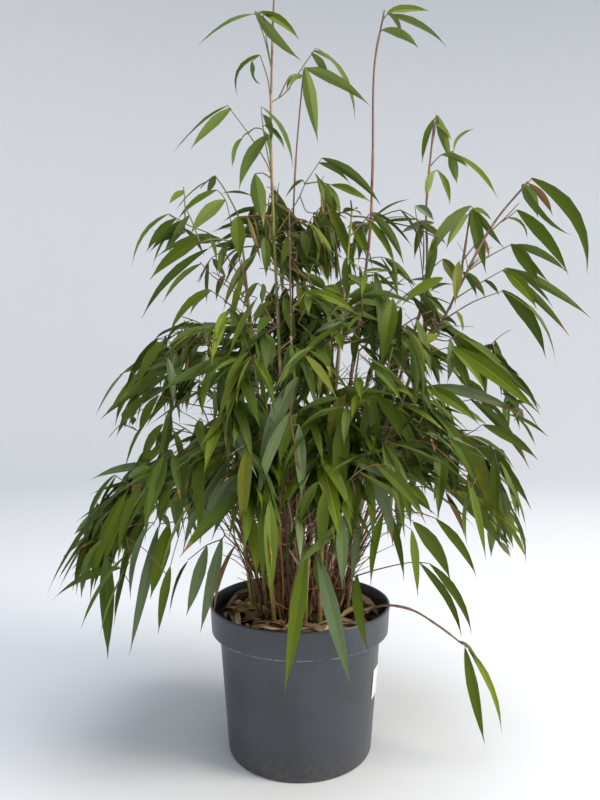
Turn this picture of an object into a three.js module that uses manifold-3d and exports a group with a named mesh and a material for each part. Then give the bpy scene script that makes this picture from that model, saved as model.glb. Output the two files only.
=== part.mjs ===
// A clump-forming bamboo in a nursery pot: thin culms, drooping masses of long leaves, a grey plastic pot.
// Millimetres, +Z up. The origin is the centre of the pot's flat underside, and -Y is the front.
import * as THREE from 'three';
import { ConvexGeometry } from 'three/addons/geometries/ConvexGeometry.js';
import { mergeVertices } from 'three/addons/utils/BufferGeometryUtils.js';
import Module from 'manifold-3d';

const wasm = await Module();
wasm.setup();

// The pot: a 3 litre moulded pot, 190 mm across its collar.
const pot = {
  height: 152, rimRadius: 95, collarHeight: 28, collarFootRadius: 92.6, shoulderRadius: 84.6,
  footRadius: 75, footBevel: 2.5, wall: 2.4, floor: 3, lip: 1.2, lipDraft: 0.5, ledgeFall: 1, sides: 26,
};
const compost = { belowRim: 17, clearance: 0.4, flare: 0.4 };
const compostTop = pot.height - compost.belowRim;

// The room between neighbours and under the culms, how deep a culm starts, and how far a cut is smoothed.
const clearance = 0.5;
const seat = 0.3;
const buried = 3;
const smoothing = 0.18;
const weld = 0.02;
// The plant: culms thinner than a pencil, and leaves in masses that arch over and hang.
const culm = { sides: 5, steps: 4, footRadius: 2.4, headRadius: 1.1 };
const thinCulm = { sides: 4, steps: 4, footRadius: 1.5, headRadius: 0.9 };
const clump = { footRadius: 50, headRadius: 55, height: 90, sides: 9, rows: 2, unevenness: 0.05, seed: 77 };
const pad = {
  columns: 7, rows: 4, cornerRoom: 1.5, rootHalfWidth: 7, crestShare: 0.62, notchShare: 0.34,
  edgeThinning: 0.35, above: 1.15, below: 0.75,
};
const waviness = { mass: 0.1, heart: 0.12, blade: 0.08 };
const wander = { turn: 0.06, notch: 0.5, stretch: 0.05, reach: 0.08, crest: 10, edge: 9, tip: 24 };
const swell = { root: 0.3, tip: 0.12, belly: 0.7, towardsRoot: 0.85, roundness: 0.8 };
const hanging = {
  frontOpening: { bearing: 279, halfAngle: 46, lift: 30 },
  lowLeft: { bearing: 212, halfAngle: 34, lift: -40 },
  rightEdge: { bearing: 335, halfAngle: 46, lift: 34 },
};
const spray = { width: 20, depth: 12, twigRadius: 2.6, arch: 0.06, sides: 4, rows: 3 };
const heart = { sides: 7, rows: 3, radius: 42, endShare: 0.62, foot: [4, -2], head: [0, 4] };
const reach = { left: 218, right: 226, front: 160, back: 184, squareness: 2.7 };

const leafGreens = [0x3f6b2a, 0x4c7a30, 0x35602c, 0x5a8a38];
const up = new THREE.Vector3(0, 0, 1);

const plant = new THREE.Group();
plant.name = 'potted_bamboo';

// One repeatable stream of numbers from 0 to 1 for each seed.
function stream(seed) {
  let state = seed * 2654435761 >>> 0;
  return () => {
    state = state + 0x6D2B79F5 >>> 0;
    let mixed = Math.imul(state ^ state >>> 15, state | 1);
    mixed = mixed + Math.imul(mixed ^ mixed >>> 7, mixed | 61) ^ mixed;
    return ((mixed ^ mixed >>> 14) >>> 0) / 4294967296;
  };
}

function finish(colour, roughness) {
  return new THREE.MeshStandardMaterial({ color: colour, roughness, metalness: 0 });
}

function addPart(name, geometry, material) {
  const part = new THREE.Mesh(geometry, material);
  part.name = name;
  plant.add(part);
}

function point(bearing, radius, height) {
  const angle = THREE.MathUtils.degToRad(bearing);
  return new THREE.Vector3(radius * Math.cos(angle), radius * Math.sin(angle), height);
}

// A closed skin over a row of rings that all have the same number of points. Each end is closed by a ladder
// between the two halves of its ring, which stays inside the ring even where that is a thin bent band.
function loft(rings) {
  const sides = rings[0].length;
  const index = [];
  for (let row = 0; row < rings.length - 1; row++) {
    for (let side = 0; side < sides; side++) {
      const a = row * sides + side;
      const b = row * sides + (side + 1) % sides;
      index.push(a, b, b + sides, a, b + sides, a + sides);
    }
  }
  const last = (rings.length - 1) * sides;
  for (let low = 0, high = sides - 1; high - low > 1; low++, high--) {
    index.push(low, high, low + 1);
    index.push(last + low, last + low + 1, last + high);
    if (high - low > 2) {
      index.push(low + 1, high, high - 1);
      index.push(last + low + 1, last + high - 1, last + high);
    }
  }
  const geometry = new THREE.BufferGeometry();
  const numbers = rings.flat().flatMap((corner) => [corner.x, corner.y, corner.z]);
  geometry.setAttribute('position', new THREE.Float32BufferAttribute(numbers, 3));
  geometry.setIndex(index);
  return geometry;
}

// Rings square to a curve. Their broad side stays level, and shape gives a ring's half width and half depth.
// A grown row is larger by the same amount all round, and longer by it at both ends.
function ringsAlong(curve, steps, sides, shape, grown = 0) {
  const lean = curve.getPoint(1).sub(curve.getPoint(0)).setZ(0);
  const outward = lean.length() > 1 ? lean.normalize() : new THREE.Vector3(1, 0, 0);
  const broad = up.clone().cross(outward);
  const rings = [];
  for (let row = 0; row <= steps; row++) {
    const along = row / steps;
    const tangent = curve.getTangent(along);
    const push = row === 0 ? -grown : row === steps ? grown : 0;
    const centre = curve.getPoint(along).addScaledVector(tangent, push);
    const thick = tangent.clone().cross(broad).normalize();
    const ring = [];
    for (let side = 0; side < sides; side++) {
      const angle = 2 * Math.PI * side / sides;
      const [halfWidth, halfDepth] = shape(along, angle);
      ring.push(centre.clone()
        .addScaledVector(broad, (halfWidth + grown) * Math.cos(angle))
        .addScaledVector(thick, (halfDepth + grown) * Math.sin(angle)));
    }
    rings.push(ring);
  }
  return rings;
}

function solid(geometry, tolerance = 1e-4) {
  geometry.deleteAttribute('normal');
  geometry.deleteAttribute('uv');
  const welded = mergeVertices(geometry, tolerance);
  return new wasm.Manifold(new wasm.Mesh({
    numProp: 3,
    vertProperties: new Float32Array(welded.attributes.position.array),
    triVerts: new Uint32Array(welded.index.array),
  }));
}

function geometryOf(body) {
  const skin = body.getMesh();
  const geometry = new THREE.BufferGeometry();
  geometry.setAttribute('position', new THREE.BufferAttribute(new Float32Array(skin.vertProperties), 3));
  geometry.setIndex(new THREE.BufferAttribute(new Uint32Array(skin.triVerts), 1));
  geometry.computeVertexNormals();
  return geometry;
}

function joined(bodies) {
  return bodies.reduce((whole, body) => whole.add(body));
}

function largestPiece(body) {
  return body.decompose().reduce((best, piece) => piece.volume() > best.volume() ? piece : best);
}

// Everything that foliage has to leave room for, each a little larger than the part it stands for.
const keptClear = [];

// A cut leaves slivers: they are smoothed and welded away within a fraction of the clearance, and the
// largest piece is kept.
function cutClear(body) {
  const cut = largestPiece(keptClear.reduce((left, other) => left.subtract(other), body));
  return largestPiece(solid(geometryOf(cut.simplify(smoothing)), weld));
}

function addPot() {
  const { height, rimRadius, collarFootRadius, shoulderRadius, footRadius, wall, lip, lipDraft } = pot;
  const ledge = height - pot.collarHeight;
  const outline = [
    [0, 0], [footRadius - pot.footBevel, 0], [footRadius, pot.footBevel],
    [shoulderRadius, ledge - pot.ledgeFall], [collarFootRadius, ledge],
    [rimRadius - lipDraft, height - lip], [rimRadius - lip, height],
    [rimRadius - wall, height], [rimRadius - wall - lipDraft, height - lip],
    [collarFootRadius - wall, ledge + wall], [shoulderRadius - wall, ledge + wall - pot.ledgeFall],
    [footRadius - wall, pot.floor], [0, pot.floor],
  ];
  const points = outline.map(([radius, level]) => new THREE.Vector2(radius, level));
  const geometry = new THREE.LatheGeometry(points, pot.sides).rotateX(Math.PI / 2);
  addPart('pot', geometryOf(solid(geometry)), finish(0x53585d, 0.55));
}

// The compost fills the pot to just under the collar's edge. Culms are cut off flat a little above it.
function addCompost() {
  const gap = compost.clearance;
  const ledge = pot.height - pot.collarHeight + pot.wall;
  const collarInside = pot.collarFootRadius - pot.wall - gap;
  const fill = (top) => {
    const outline = [
      [0, pot.floor + gap], [pot.footRadius - pot.wall - gap, pot.floor + gap],
      [pot.shoulderRadius - pot.wall - gap, ledge - pot.ledgeFall + gap], [collarInside, ledge + gap],
      [collarInside + compost.flare, top], [0, top],
    ];
    const points = outline.map(([radius, level]) => new THREE.Vector2(radius, level));
    return solid(new THREE.LatheGeometry(points, pot.sides).rotateX(Math.PI / 2));
  };
  addPart('compost', geometryOf(fill(compostTop)), finish(0x3a2a20, 0.95));
  keptClear.push(fill(compostTop + seat));
}

// A culm tapers evenly from its flat foot on the compost to its head inside the mass that it carries.
function addCulm(name, points, size, colour) {
  const curve = new THREE.CatmullRomCurve3(points);
  const shape = (along) => Array(2).fill(THREE.MathUtils.lerp(size.footRadius, size.headRadius, along));
  const build = (grown) => solid(loft(ringsAlong(curve, size.steps, size.sides, shape, grown)));
  addPart(name, geometryOf(cutClear(build(0))), finish(colour, 0.5));
  keptClear.push(build(clearance));
}

// A smooth arch from one place over a second to a third.
function arch(from, over, to) {
  const control = over.clone().multiplyScalar(2).addScaledVector(from, -0.5).addScaledVector(to, -0.5);
  return new THREE.QuadraticBezierCurve3(from, control, to);
}

// Waves with phases of their own, which make a solid uneven: a share to add to its size at any place on it.
function unevenness(seed, strength) {
  const random = stream(seed);
  const phases = [random(), random(), random()].map((share) => share * 2 * Math.PI);
  return (across, along) => strength * (Math.sin(2 * across + phases[0] + 6 * along)
    + 0.7 * Math.sin(3.1 * across + phases[1] - 9 * along) + 0.5 * Math.sin(14 * along + phases[2]));
}

// How thick a mass is along its length: thin where it leaves the culm, full in the middle, narrow at its tip.
const swelling = (along) => THREE.MathUtils.lerp(swell.root, swell.tip, along)
  + swell.belly * Math.sin(Math.PI * along ** swell.towardsRoot) ** swell.roundness;

// Foliage takes the next number as its seed, is cut round all that was there before, and is kept clear of.
let massCount = 0;
function addMass(name, build) {
  massCount += 1;
  const seed = massCount;
  addPart(name, geometryOf(cutClear(build(seed, 0))), finish(leafGreens[seed % leafGreens.length], 0.6));
  keptClear.push(build(seed, clearance));
}

// The blade-like outline of a few leaves, from the end of their twig to their tips.
function blade(from, { tip, width = spray.width }, seed, grown) {
  const middle = from.clone().lerp(tip, 0.5);
  middle.z += spray.arch * from.distanceTo(tip);
  const uneven = unevenness(seed, waviness.blade);
  const shape = (along, angle) => [width, spray.depth]
    .map((size) => size / 2 * swelling(along) * (1 + uneven(angle, along)));
  return solid(loft(ringsAlong(arch(from, middle, tip), spray.rows, spray.sides, shape, grown)));
}

function twig(from, to, grown) {
  const shape = () => [spray.twigRadius, spray.twigRadius];
  return solid(loft(ringsAlong(new THREE.LineCurve3(from, to), 1, spray.sides, shape, grown)));
}

// A thin spray clear of the crown: a twig from its culm to a fork, from there to each leaf, and the leaves.
function addSpray(name, joint, fork, leaves) {
  addMass(name, (seed, grown) => joined([
    twig(joint, fork, grown),
    ...leaves.flatMap((leaf, number) => leaf.from
      ? [twig(fork, leaf.from, grown), blade(leaf.from, leaf, seed * 10 + number, grown)]
      : [blade(fork, leaf, seed * 10 + number, grown)]),
  ]));
}

const at = (x, y, z) => new THREE.Vector3(x, y, z);
const onCompost = (x, y) => at(x, y, compostTop - buried);

// Culms that stand out above the crown or leave it sideways, each a few places that it passes.
const leader = [onCompost(-8, -6), at(-20, -5, 385), at(-30, 5, 602), at(-30, 8, 715), at(-26, 12, 834)];
const secondCulm = [onCompost(18, 8), at(69, 10, 492), at(78, 18, 602), at(80, 20, 719), at(91, 20, 784)];
const thirdCulm = [onCompost(-2, 16), at(-8, 28, 470), at(-6, 30, 602), at(4, 32, 727)];
const rightCulm = [onCompost(31, 13), at(100, 18, 360), at(135, 20, 483), at(138, 25, 578), at(147, 30, 668)];
const archingCulm = [
  onCompost(37, -2), at(117, -15, 397), at(148, -22, 450), at(190, -28, 534), at(229, -30, 584),
];
const forkBough = [at(149, -22, 449), at(162, -20, 482), at(174, -20, 558)];
const lowestCulm = [onCompost(47, -30), at(89, -34, 159), at(129, -42, 145), at(160, -49, 124)];
const frontCulm = [onCompost(5, -51), at(8, -84, 214), at(12, -106, 246)];

// The crown's tiers. Each sector of a tier is one mass, hung on a culm that leans out along its bearing. The
// sectors rise and fall, so that the tiers interlock instead of lying in level rings, and the middle tier
// spreads wider on the right.
const sectors = [
  { name: 'left', bearing: 192, halfAngle: 26, rise: -8 },
  { name: 'front_left', bearing: 239, halfAngle: 22, rise: 28 },
  { name: 'front_right', bearing: 293, halfAngle: 26, rise: 8 },
  { name: 'right', bearing: 344, halfAngle: 23, rise: -14, middleReach: 1.14 },
  { name: 'back_right', bearing: 44, halfAngle: 33, rise: 24 },
  { name: 'back_left', bearing: 122, halfAngle: 38, rise: -16 },
];
const highSectors = [
  { name: 'left', bearing: 187, halfAngle: 28, rise: 4 },
  { name: 'front', bearing: 257, halfAngle: 34, rise: -10 },
  { name: 'right', bearing: 326, halfAngle: 30, rise: -26 },
  { name: 'back_right', bearing: 34, halfAngle: 32, rise: 0 },
  { name: 'back_left', bearing: 112, halfAngle: 38, rise: 12 },
];
const low = { name: 'low', join: 284, crest: 326, tip: 192, reach: 1.05, depth: 72 };
const middle = { name: 'middle', join: 412, crest: 456, tip: 318, reach: 0.9, depth: 80 };
const high = { name: 'high', join: 544, crest: 568, tip: 450, reach: 0.74, depth: 66 };
// The culms of a tier: the radius of their feet, and their heads as a share of the crown's reach there.
const sectorCulm = { foot: 49, head: 0.43, height: 420 };
const highCulm = { foot: 27, head: 0.29, height: 553 };

// How far the crown spreads along a bearing: a squarish oval with its own reach on each side.
function spreadAt(bearing) {
  const angle = THREE.MathUtils.degToRad(bearing);
  const across = Math.abs(Math.cos(angle)) / (Math.cos(angle) > 0 ? reach.right : reach.left);
  const forward = Math.abs(Math.sin(angle)) / (Math.sin(angle) > 0 ? reach.back : reach.front);
  return (across ** reach.squareness + forward ** reach.squareness) ** (-1 / reach.squareness);
}

// How far out a tier's culm stands at a height: it leans out more and more on its way up.
function culmRadius(bearing, size, height) {
  const share = (height - compostTop) / (size.height - compostTop);
  return THREE.MathUtils.lerp(size.foot, size.head * spreadAt(bearing), Math.max(share, 0) ** 1.3);
}

function culmPath(bearing, size) {
  const heights = [compostTop - buried, (compostTop + size.height) / 2, size.height];
  return heights.map((height) => point(bearing, culmRadius(bearing, size, height), height));
}

// The lowest leaves hang less far over the front of the pot, so that the stems and the compost show there,
// and further at the left of it.
function liftAt(bearing) {
  return Object.values(hanging).reduce((sum, place) => {
    const away = Math.min(Math.abs(bearing - place.bearing) / place.halfAngle, 1);
    return sum + place.lift * Math.cos(Math.PI / 2 * away) ** 2;
  }, 0);
}

// The arches that a mass is built on, side by side: every other one is a long finger of drooping leaves.
function fingers(tier, sector, size, random) {
  const upTo = (spread) => spread * (2 * random() - 1);
  const root = culmRadius(sector.bearing, size, tier.join);
  const widened = tier === middle && sector.middleReach || 1;
  const stretch = tier.reach * widened * (1 + upTo(wander.stretch));
  const crest = tier.crest + sector.rise + upTo(wander.crest);
  return Array.from({ length: pad.columns }, (_, column) => {
    const turn = 2 * column / (pad.columns - 1) - 1;
    const bearing = sector.bearing + turn * sector.halfAngle * (1 - wander.turn * random());
    const short = column % 2 ? pad.notchShare * (1 + upTo(wander.notch)) : 0;
    const out = spreadAt(bearing) * stretch * (1 + upTo(wander.reach));
    const drop = tier.tip + sector.rise / 2 + upTo(wander.tip) + (tier === low ? liftAt(bearing) : 0);
    const start = point(sector.bearing, root, tier.join)
      .add(point(sector.bearing + 90, turn * pad.rootHalfWidth, 0));
    const over = point(bearing, out * pad.crestShare, crest + upTo(wander.edge));
    const end = point(bearing, out, drop).lerp(over, short);
    return { turn, curve: arch(start, over, end), broad: point(bearing + 90, 1, 0) };
  });
}

// A corner, or the six places round it that make a solid of such corners larger by the same amount all round.
function swollen(corner, grown) {
  if (grown === 0) return [corner];
  return [-grown, grown].flatMap((shift) => [
    corner.clone().setX(corner.x + shift), corner.clone().setY(corner.y + shift),
    corner.clone().setZ(corner.z + shift),
  ]);
}

// One sector of a tier: a thick, uneven sheet of foliage that starts on the sector's culm, fans out over
// the crest and droops to its fingers' tips. It is joined from convex cells, so that a tight bend can't fold
// into itself.
function addTierMass(tier, sector, size) {
  addMass(`${tier.name}_mass_${sector.name}`, (seed, grown) => {
    const columns = fingers(tier, sector, size, stream(seed));
    const uneven = unevenness(seed, waviness.mass);
    const pairs = Array.from({ length: pad.rows + 1 }, (_, row) => {
      const along = row / pad.rows;
      return columns.map(({ turn, curve, broad }) => {
        const through = curve.getTangent(along).cross(broad).normalize();
        const half = tier.depth / 2 * swelling(along) * (1 - pad.edgeThinning * turn * turn);
        return [pad.above, -pad.below].map((side) => curve.getPoint(along)
          .addScaledVector(through, side * half * (1 + uneven(turn * 2 + side, along))));
      });
    });
    const cells = pairs.slice(1).flatMap((row, number) => row.slice(1).map((pair, column) => {
      const corners = [pair, row[column], pairs[number][column], pairs[number][column + 1]].flat();
      return solid(new ConvexGeometry(corners.flatMap((corner) => swollen(corner, grown * pad.cornerRoom))));
    }));
    return joined(cells);
  });
}

// Foliage in the middle of the crown, round the culms.
function addHeartMass(name, from, to) {
  addMass(name, (seed, grown) => {
    const uneven = unevenness(seed, waviness.heart);
    const belly = (along) => heart.endShare + (1 - heart.endShare) * Math.sin(Math.PI * along);
    const shape = (along, angle) => Array(2)
      .fill(heart.radius * belly(along) * (1 + uneven(angle, along)));
    const curve = new THREE.LineCurve3(at(...heart.foot, from), at(...heart.head, to));
    return solid(loft(ringsAlong(curve, heart.rows, heart.sides, shape, grown)));
  });
}

// The foot of the clump: dozens of old stems packed together, as one uneven solid round the culms.
function addStemClump() {
  const curve = new THREE.LineCurve3(onCompost(0, 0), at(6, -2, compostTop + clump.height));
  const uneven = unevenness(clump.seed, clump.unevenness);
  const shape = (along, angle) => {
    const radius = THREE.MathUtils.lerp(clump.footRadius, clump.headRadius, along);
    return Array(2).fill(radius * (1 + uneven(angle, along)));
  };
  const body = solid(loft(ringsAlong(curve, clump.rows, clump.sides, shape)));
  addPart('stem_clump', geometryOf(cutClear(body)), finish(0x7c6242, 0.8));
  keptClear.push(body);
}

addPot();
addCompost();

addCulm('leader_culm', leader, culm, 0x7d8a45);
addCulm('second_culm', secondCulm, culm, 0x5d4438);
addCulm('third_culm', thirdCulm, thinCulm, 0x5d4438);
addCulm('right_culm', rightCulm, culm, 0x8a5a48);
addCulm('arching_culm', archingCulm, culm, 0x5d4438);
addCulm('fork_bough', forkBough, thinCulm, 0x5d4438);
addCulm('lowest_culm', lowestCulm, thinCulm, 0x5d4438);
addCulm('front_culm', frontCulm, thinCulm, 0x7d8a45);
for (const sector of sectors) {
  addCulm(`culm_${sector.name}`, culmPath(sector.bearing, sectorCulm), culm, 0x7d8a45);
}
for (const sector of highSectors) {
  addCulm(`high_culm_${sector.name}`, culmPath(sector.bearing, highCulm), culm, 0x7d8a45);
}

addStemClump();

addSpray('top_spray', at(-28, 11, 800), at(-30, 13, 838), [
  { tip: at(-68, 4, 818) },
  { tip: at(8, 24, 824) },
]);
addSpray('top_left_spray', at(-30, 8, 716), at(-49, 0, 771), [
  { tip: at(-106, -12, 732) },
  { tip: at(0, -15, 708), width: 24 },
]);
addSpray('curled_spray', at(-29, 6, 668), at(-42, 5, 731), [
  { tip: at(-68, 0, 684) },
]);
addSpray('leader_right_spray', at(-28, 7, 664), at(17, 34, 752), [
  { tip: at(60, 38, 676) },
]);
addSpray('third_culm_spray', at(2, 32, 706), at(5, 30, 732), [
  { tip: at(18, 10, 640), width: 24 },
  { tip: at(78, 28, 684), width: 24 },
]);
addSpray('leader_left_spray', at(-30, 4, 602), at(-76, 0, 676), [
  { tip: at(-138, 8, 624), width: 26 },
]);
addSpray('leader_middle_spray', at(-30, 3, 588), at(-42, -12, 626), [
  { from: at(-40, -4, 668), tip: at(-8, -16, 588), width: 16 },
  { tip: at(-63, -26, 576), width: 22 },
  { tip: at(-40, -28, 544), width: 24 },
]);
addSpray('second_culm_spray', at(87, 20, 764), at(94, 19, 788), [
  { tip: at(160, 10, 742), width: 24 },
  { tip: at(132, 32, 748), width: 18 },
]);
addSpray('small_right_spray', at(-6, 30, 590), at(24, 6, 622), [
  { tip: at(90, -10, 566), width: 26 },
]);
addSpray('right_culm_spray', at(143, 28, 636), at(150, 29, 664), [
  { tip: at(163, 18, 614), width: 24 },
  { tip: at(212, 16, 584), width: 16 },
  { tip: at(134, 38, 588), width: 20 },
]);
addSpray('fork_spray', at(172, -20, 540), at(178, -22, 564), [
  { tip: at(124, -50, 492), width: 30 },
  { tip: at(186, -42, 490), width: 28 },
  { tip: at(214, -6, 528), width: 20 },
]);
addSpray('arching_spray', at(216, -29, 568), at(232, -32, 589), [
  { tip: at(282, -50, 486), width: 24 },
  { tip: at(256, -58, 488), width: 22 },
]);
addSpray('arching_middle_spray', at(162, -24, 480), at(212, -16, 521), [
  { tip: at(278, 2, 496), width: 24 },
  { tip: at(288, -44, 446), width: 26 },
]);
addSpray('arching_lower_spray', at(150, -22, 453), at(190, -54, 482), [
  { tip: at(230, -80, 404), width: 30 },
  { tip: at(260, -58, 428), width: 22 },
]);
addSpray('lowest_spray', at(152, -47, 130), at(167, -51, 120), [
  { tip: at(180, -60, 36), width: 22 },
  { tip: at(200, -50, 32), width: 16 },
]);
addSpray('front_hanging_spray', at(11, -101, 236), at(14, -113, 238), [
  { tip: at(-14, -130, 110), width: 24 },
  { tip: at(44, -130, 121), width: 24 },
  { from: at(50, -100, 212), tip: at(61, -110, 142), width: 20 },
]);

for (const sector of sectors) addTierMass(middle, sector, sectorCulm);
for (const sector of sectors) addTierMass(low, sector, sectorCulm);
for (const sector of highSectors) addTierMass(high, sector, highCulm);
addHeartMass('heart_mass_low', 244, 362);
addHeartMass('heart_mass_middle', 370, 488);
addHeartMass('heart_mass_top', 496, 604);

export default plant;
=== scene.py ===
import math
import random

import bmesh
import bpy
from mathutils import Matrix, Vector, noise
from mathutils.bvhtree import BVHTree


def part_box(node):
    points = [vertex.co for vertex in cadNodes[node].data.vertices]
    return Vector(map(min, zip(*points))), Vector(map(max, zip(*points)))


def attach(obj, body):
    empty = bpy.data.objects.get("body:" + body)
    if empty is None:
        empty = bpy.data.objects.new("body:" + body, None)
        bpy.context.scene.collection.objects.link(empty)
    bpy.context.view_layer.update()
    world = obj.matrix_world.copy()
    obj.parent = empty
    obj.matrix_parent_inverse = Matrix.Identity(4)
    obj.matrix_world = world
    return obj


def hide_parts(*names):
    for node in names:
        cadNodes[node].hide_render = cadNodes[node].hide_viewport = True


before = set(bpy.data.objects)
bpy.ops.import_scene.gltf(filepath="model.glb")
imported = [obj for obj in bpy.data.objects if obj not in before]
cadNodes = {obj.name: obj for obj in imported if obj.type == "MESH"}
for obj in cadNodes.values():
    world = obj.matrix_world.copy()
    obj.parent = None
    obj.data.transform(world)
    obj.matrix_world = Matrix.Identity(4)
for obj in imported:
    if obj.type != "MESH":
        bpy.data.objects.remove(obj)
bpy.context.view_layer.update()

# A clump-forming bamboo in a nursery pot. Metres, +Z up, -Y the front, the pot's underside on the floor.
mm = 0.001
up = Vector((0, 0, 1))
scene = bpy.context.scene

# The eye of the photograph: focal length and picture centre in pixels, eye in metres, pitch in degrees.
photo = {
    "focal": 650, "centre": (300, 400), "longSide": 800, "eye": Vector((0, -0.687, 0.374)), "pitch": -0.84,
}


def randomFor(seed):
    return random.Random(seed)


ahead = Vector((0, math.cos(math.radians(photo["pitch"])), math.sin(math.radians(photo["pitch"]))))
above = Vector((0, -ahead.z, ahead.y))


# The place on the sight line of a pixel, at a depth in millimetres behind the pot's axis.
def seen(pixelX, pixelY, depth):
    across = (pixelX - photo["centre"][0]) / photo["focal"]
    rise = (photo["centre"][1] - pixelY) / photo["focal"]
    way = ahead + Vector((across, 0, 0)) + above * rise
    return photo["eye"] + way * ((depth * mm - photo["eye"].y) / way.y)


# The pixel that a place is seen at.
def pixelOf(place):
    way = place - photo["eye"]
    scale = photo["focal"] / way.dot(ahead)
    return photo["centre"][0] + way.x * scale, photo["centre"][1] - way.dot(above) * scale


# Materials

def colour(hexCode):
    channels = [int(hexCode[i:i + 2], 16) / 255 for i in (0, 2, 4)]
    return tuple(c / 12.92 if c <= 0.04045 else ((c + 0.055) / 1.055) ** 2.4 for c in channels) + (1,)


def addNode(material, kind, settings, links=None):
    tree = material.node_tree
    node = tree.nodes.new(kind)
    for key, value in settings.items():
        if isinstance(key, int) or key in node.inputs:
            node.inputs[key].default_value = value
        else:
            setattr(node, key, value)
    for key, source in (links or {}).items():
        tree.links.new(source, node.inputs[key])
    return node


def newMaterial(name, hexCode, roughness, **sockets):
    material = bpy.data.materials.new(name)
    material.use_nodes = True
    surface = material.node_tree.nodes["Principled BSDF"]
    surface.inputs["Base Color"].default_value = colour(hexCode)
    surface.inputs["Roughness"].default_value = roughness
    for socket, value in sockets.items():
        surface.inputs[socket.replace("_", " ")].default_value = value
    return material


def wire(material, socket, source):
    surface = material.node_tree.nodes["Principled BSDF"]
    material.node_tree.links.new(source, surface.inputs[socket])


# Grain in the surface: noise of a real size in millimetres, as bump and as a spread of roughness.
def addGrain(material, size, height, rough=None):
    place = addNode(material, "ShaderNodeTexCoord", {}).outputs["Object"]
    grain = addNode(material, "ShaderNodeTexNoise", {"Scale": 1 / (size * mm), "Detail": 4},
                    {"Vector": place}).outputs["Fac"]
    bump = addNode(material, "ShaderNodeBump", {"Strength": 0.6, "Distance": height * mm}, {"Height": grain})
    wire(material, "Normal", bump.outputs["Normal"])
    if rough:
        spread = addNode(material, "ShaderNodeMapRange", {"To Min": rough[0], "To Max": rough[1]},
                         {"Value": grain})
        wire(material, "Roughness", spread.outputs["Result"])
    return place


# Two colours mixed by a noise of a real size in millimetres, with how much of the second one shows.
def addMottle(material, place, first, second, size, share):
    blots = addNode(material, "ShaderNodeTexNoise", {"Scale": 1 / (size * mm), "Detail": 5, "Roughness": 0.6},
                    {"Vector": place})
    ramp = addNode(material, "ShaderNodeValToRGB", {}, {"Fac": blots.outputs["Fac"]})
    for stop, edge, tone in zip(ramp.color_ramp.elements, (0.62, 0.78), (first, second)):
        stop.position = edge - 0.4 * share
        stop.color = colour(tone)
    return ramp.outputs["Color"]


# One colour laid over another where a mask is white.
def layOver(material, base, hexCode, mask):
    return addNode(material, "ShaderNodeMix", {"data_type": "RGBA", 7: colour(hexCode)},
                   {0: mask, 6: base}).outputs[2]


def product(material, first, second):
    return addNode(material, "ShaderNodeMath", {"operation": "MULTIPLY"}, {0: first, 1: second}).outputs[0]


# Bamboo leaves, fresh: a thin waxy skin over green, so a satin sheen that catches the sky, with fine veins
# along the
# blade. The tones are dealt out by spray: deep greens in the crown, partly the leaves' own tone and partly
# painted shade; yellow greens that paint the light coming through the blades, the fresh one on young leaves as
# well; a grey green that paints the sky's sheen; a few dry leaves and tips. Each with its roughness.
leafTones = {
    "deepLeaf": ("415218", 0.42), "forestLeaf": ("4c5d1a", 0.40), "midLeaf": ("546518", 0.42),
    "freshLeaf": ("596a12", 0.46), "sunlitLeaf": ("647410", 0.48), "silverLeaf": ("5c6e44", 0.33),
    "oliveLeaf": ("666a1e", 0.46), "deadLeaf": ("8f7048", 0.62), "tanLeaf": ("b8976a", 0.66),
    "leafUnderside": ("72833e", 0.56), "deepUnderside": ("607232", 0.56), "brownTip": ("8a6a40", 0.6),
    "yellowTip": ("8b7f3a", 0.55), "paleRib": ("82943a", 0.48),
}
# The midrib of a leaf is a little paler than its blade.
ribTones = {
    "deepLeaf": "forestLeaf", "forestLeaf": "midLeaf", "midLeaf": "freshLeaf", "freshLeaf": "sunlitLeaf",
    "sunlitLeaf": "paleRib", "silverLeaf": "leafUnderside", "oliveLeaf": "freshLeaf",
}


def makeLeafMaterial(name, hexCode, roughness):
    # The grey green base colour of the silver leaves is painted sky sheen; their stronger real gloss is set
    # here.
    sheen = 0.38 if name == "silverLeaf" else 0.15  # the silver ones are turned to the sky
    material = newMaterial(name, hexCode, roughness, Specular_IOR_Level=sheen)
    blade = addNode(material, "ShaderNodeUVMap", {"uv_map": "blade"}).outputs["UV"]
    veins = addNode(material, "ShaderNodeTexWave", {"Scale": 2.2, "Distortion": 0.4, "bands_direction": "X"},
                    {"Vector": blade})  # 7 veins across the blade
    bump = addNode(material, "ShaderNodeBump", {"Strength": 0.25, "Distance": 0.15 * mm},
                   {"Height": veins.outputs["Fac"]})
    wire(material, "Normal", bump.outputs["Normal"])
    return material


materials = {name: makeLeafMaterial(name, *look) for name, look in leafTones.items()}

# Twigs and old stems: lignified bamboo, dull, each in its own plain tone.
for name, hexCode in {
    "oliveTwig": "6f6a38", "brownTwig": "74503a", "purpleTwig": "5f3f3a", "strawStem": "a98a5c",
    "umberStem": "5a3f28", "greenStem": "5f6b30", "greyStem": "80694f", "russetStem": "8a5632",
}.items():
    materials[name] = newMaterial(name, hexCode, 0.6)
    addGrain(materials[name], 1.5, 0.05)

# Culm sheaths: papery, straw or pinkish where they are young; fallen ones bleach on the compost.
for name, hexCode in {"strawSheath": "a68b6c", "pinkSheath": "8c6455", "bleachedSheath": "c9b190",
                      "brownSheath": "806449"}.items():
    materials[name] = newMaterial(name, hexCode, 0.7)
    addGrain(materials[name], 0.9, 0.08)


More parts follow.
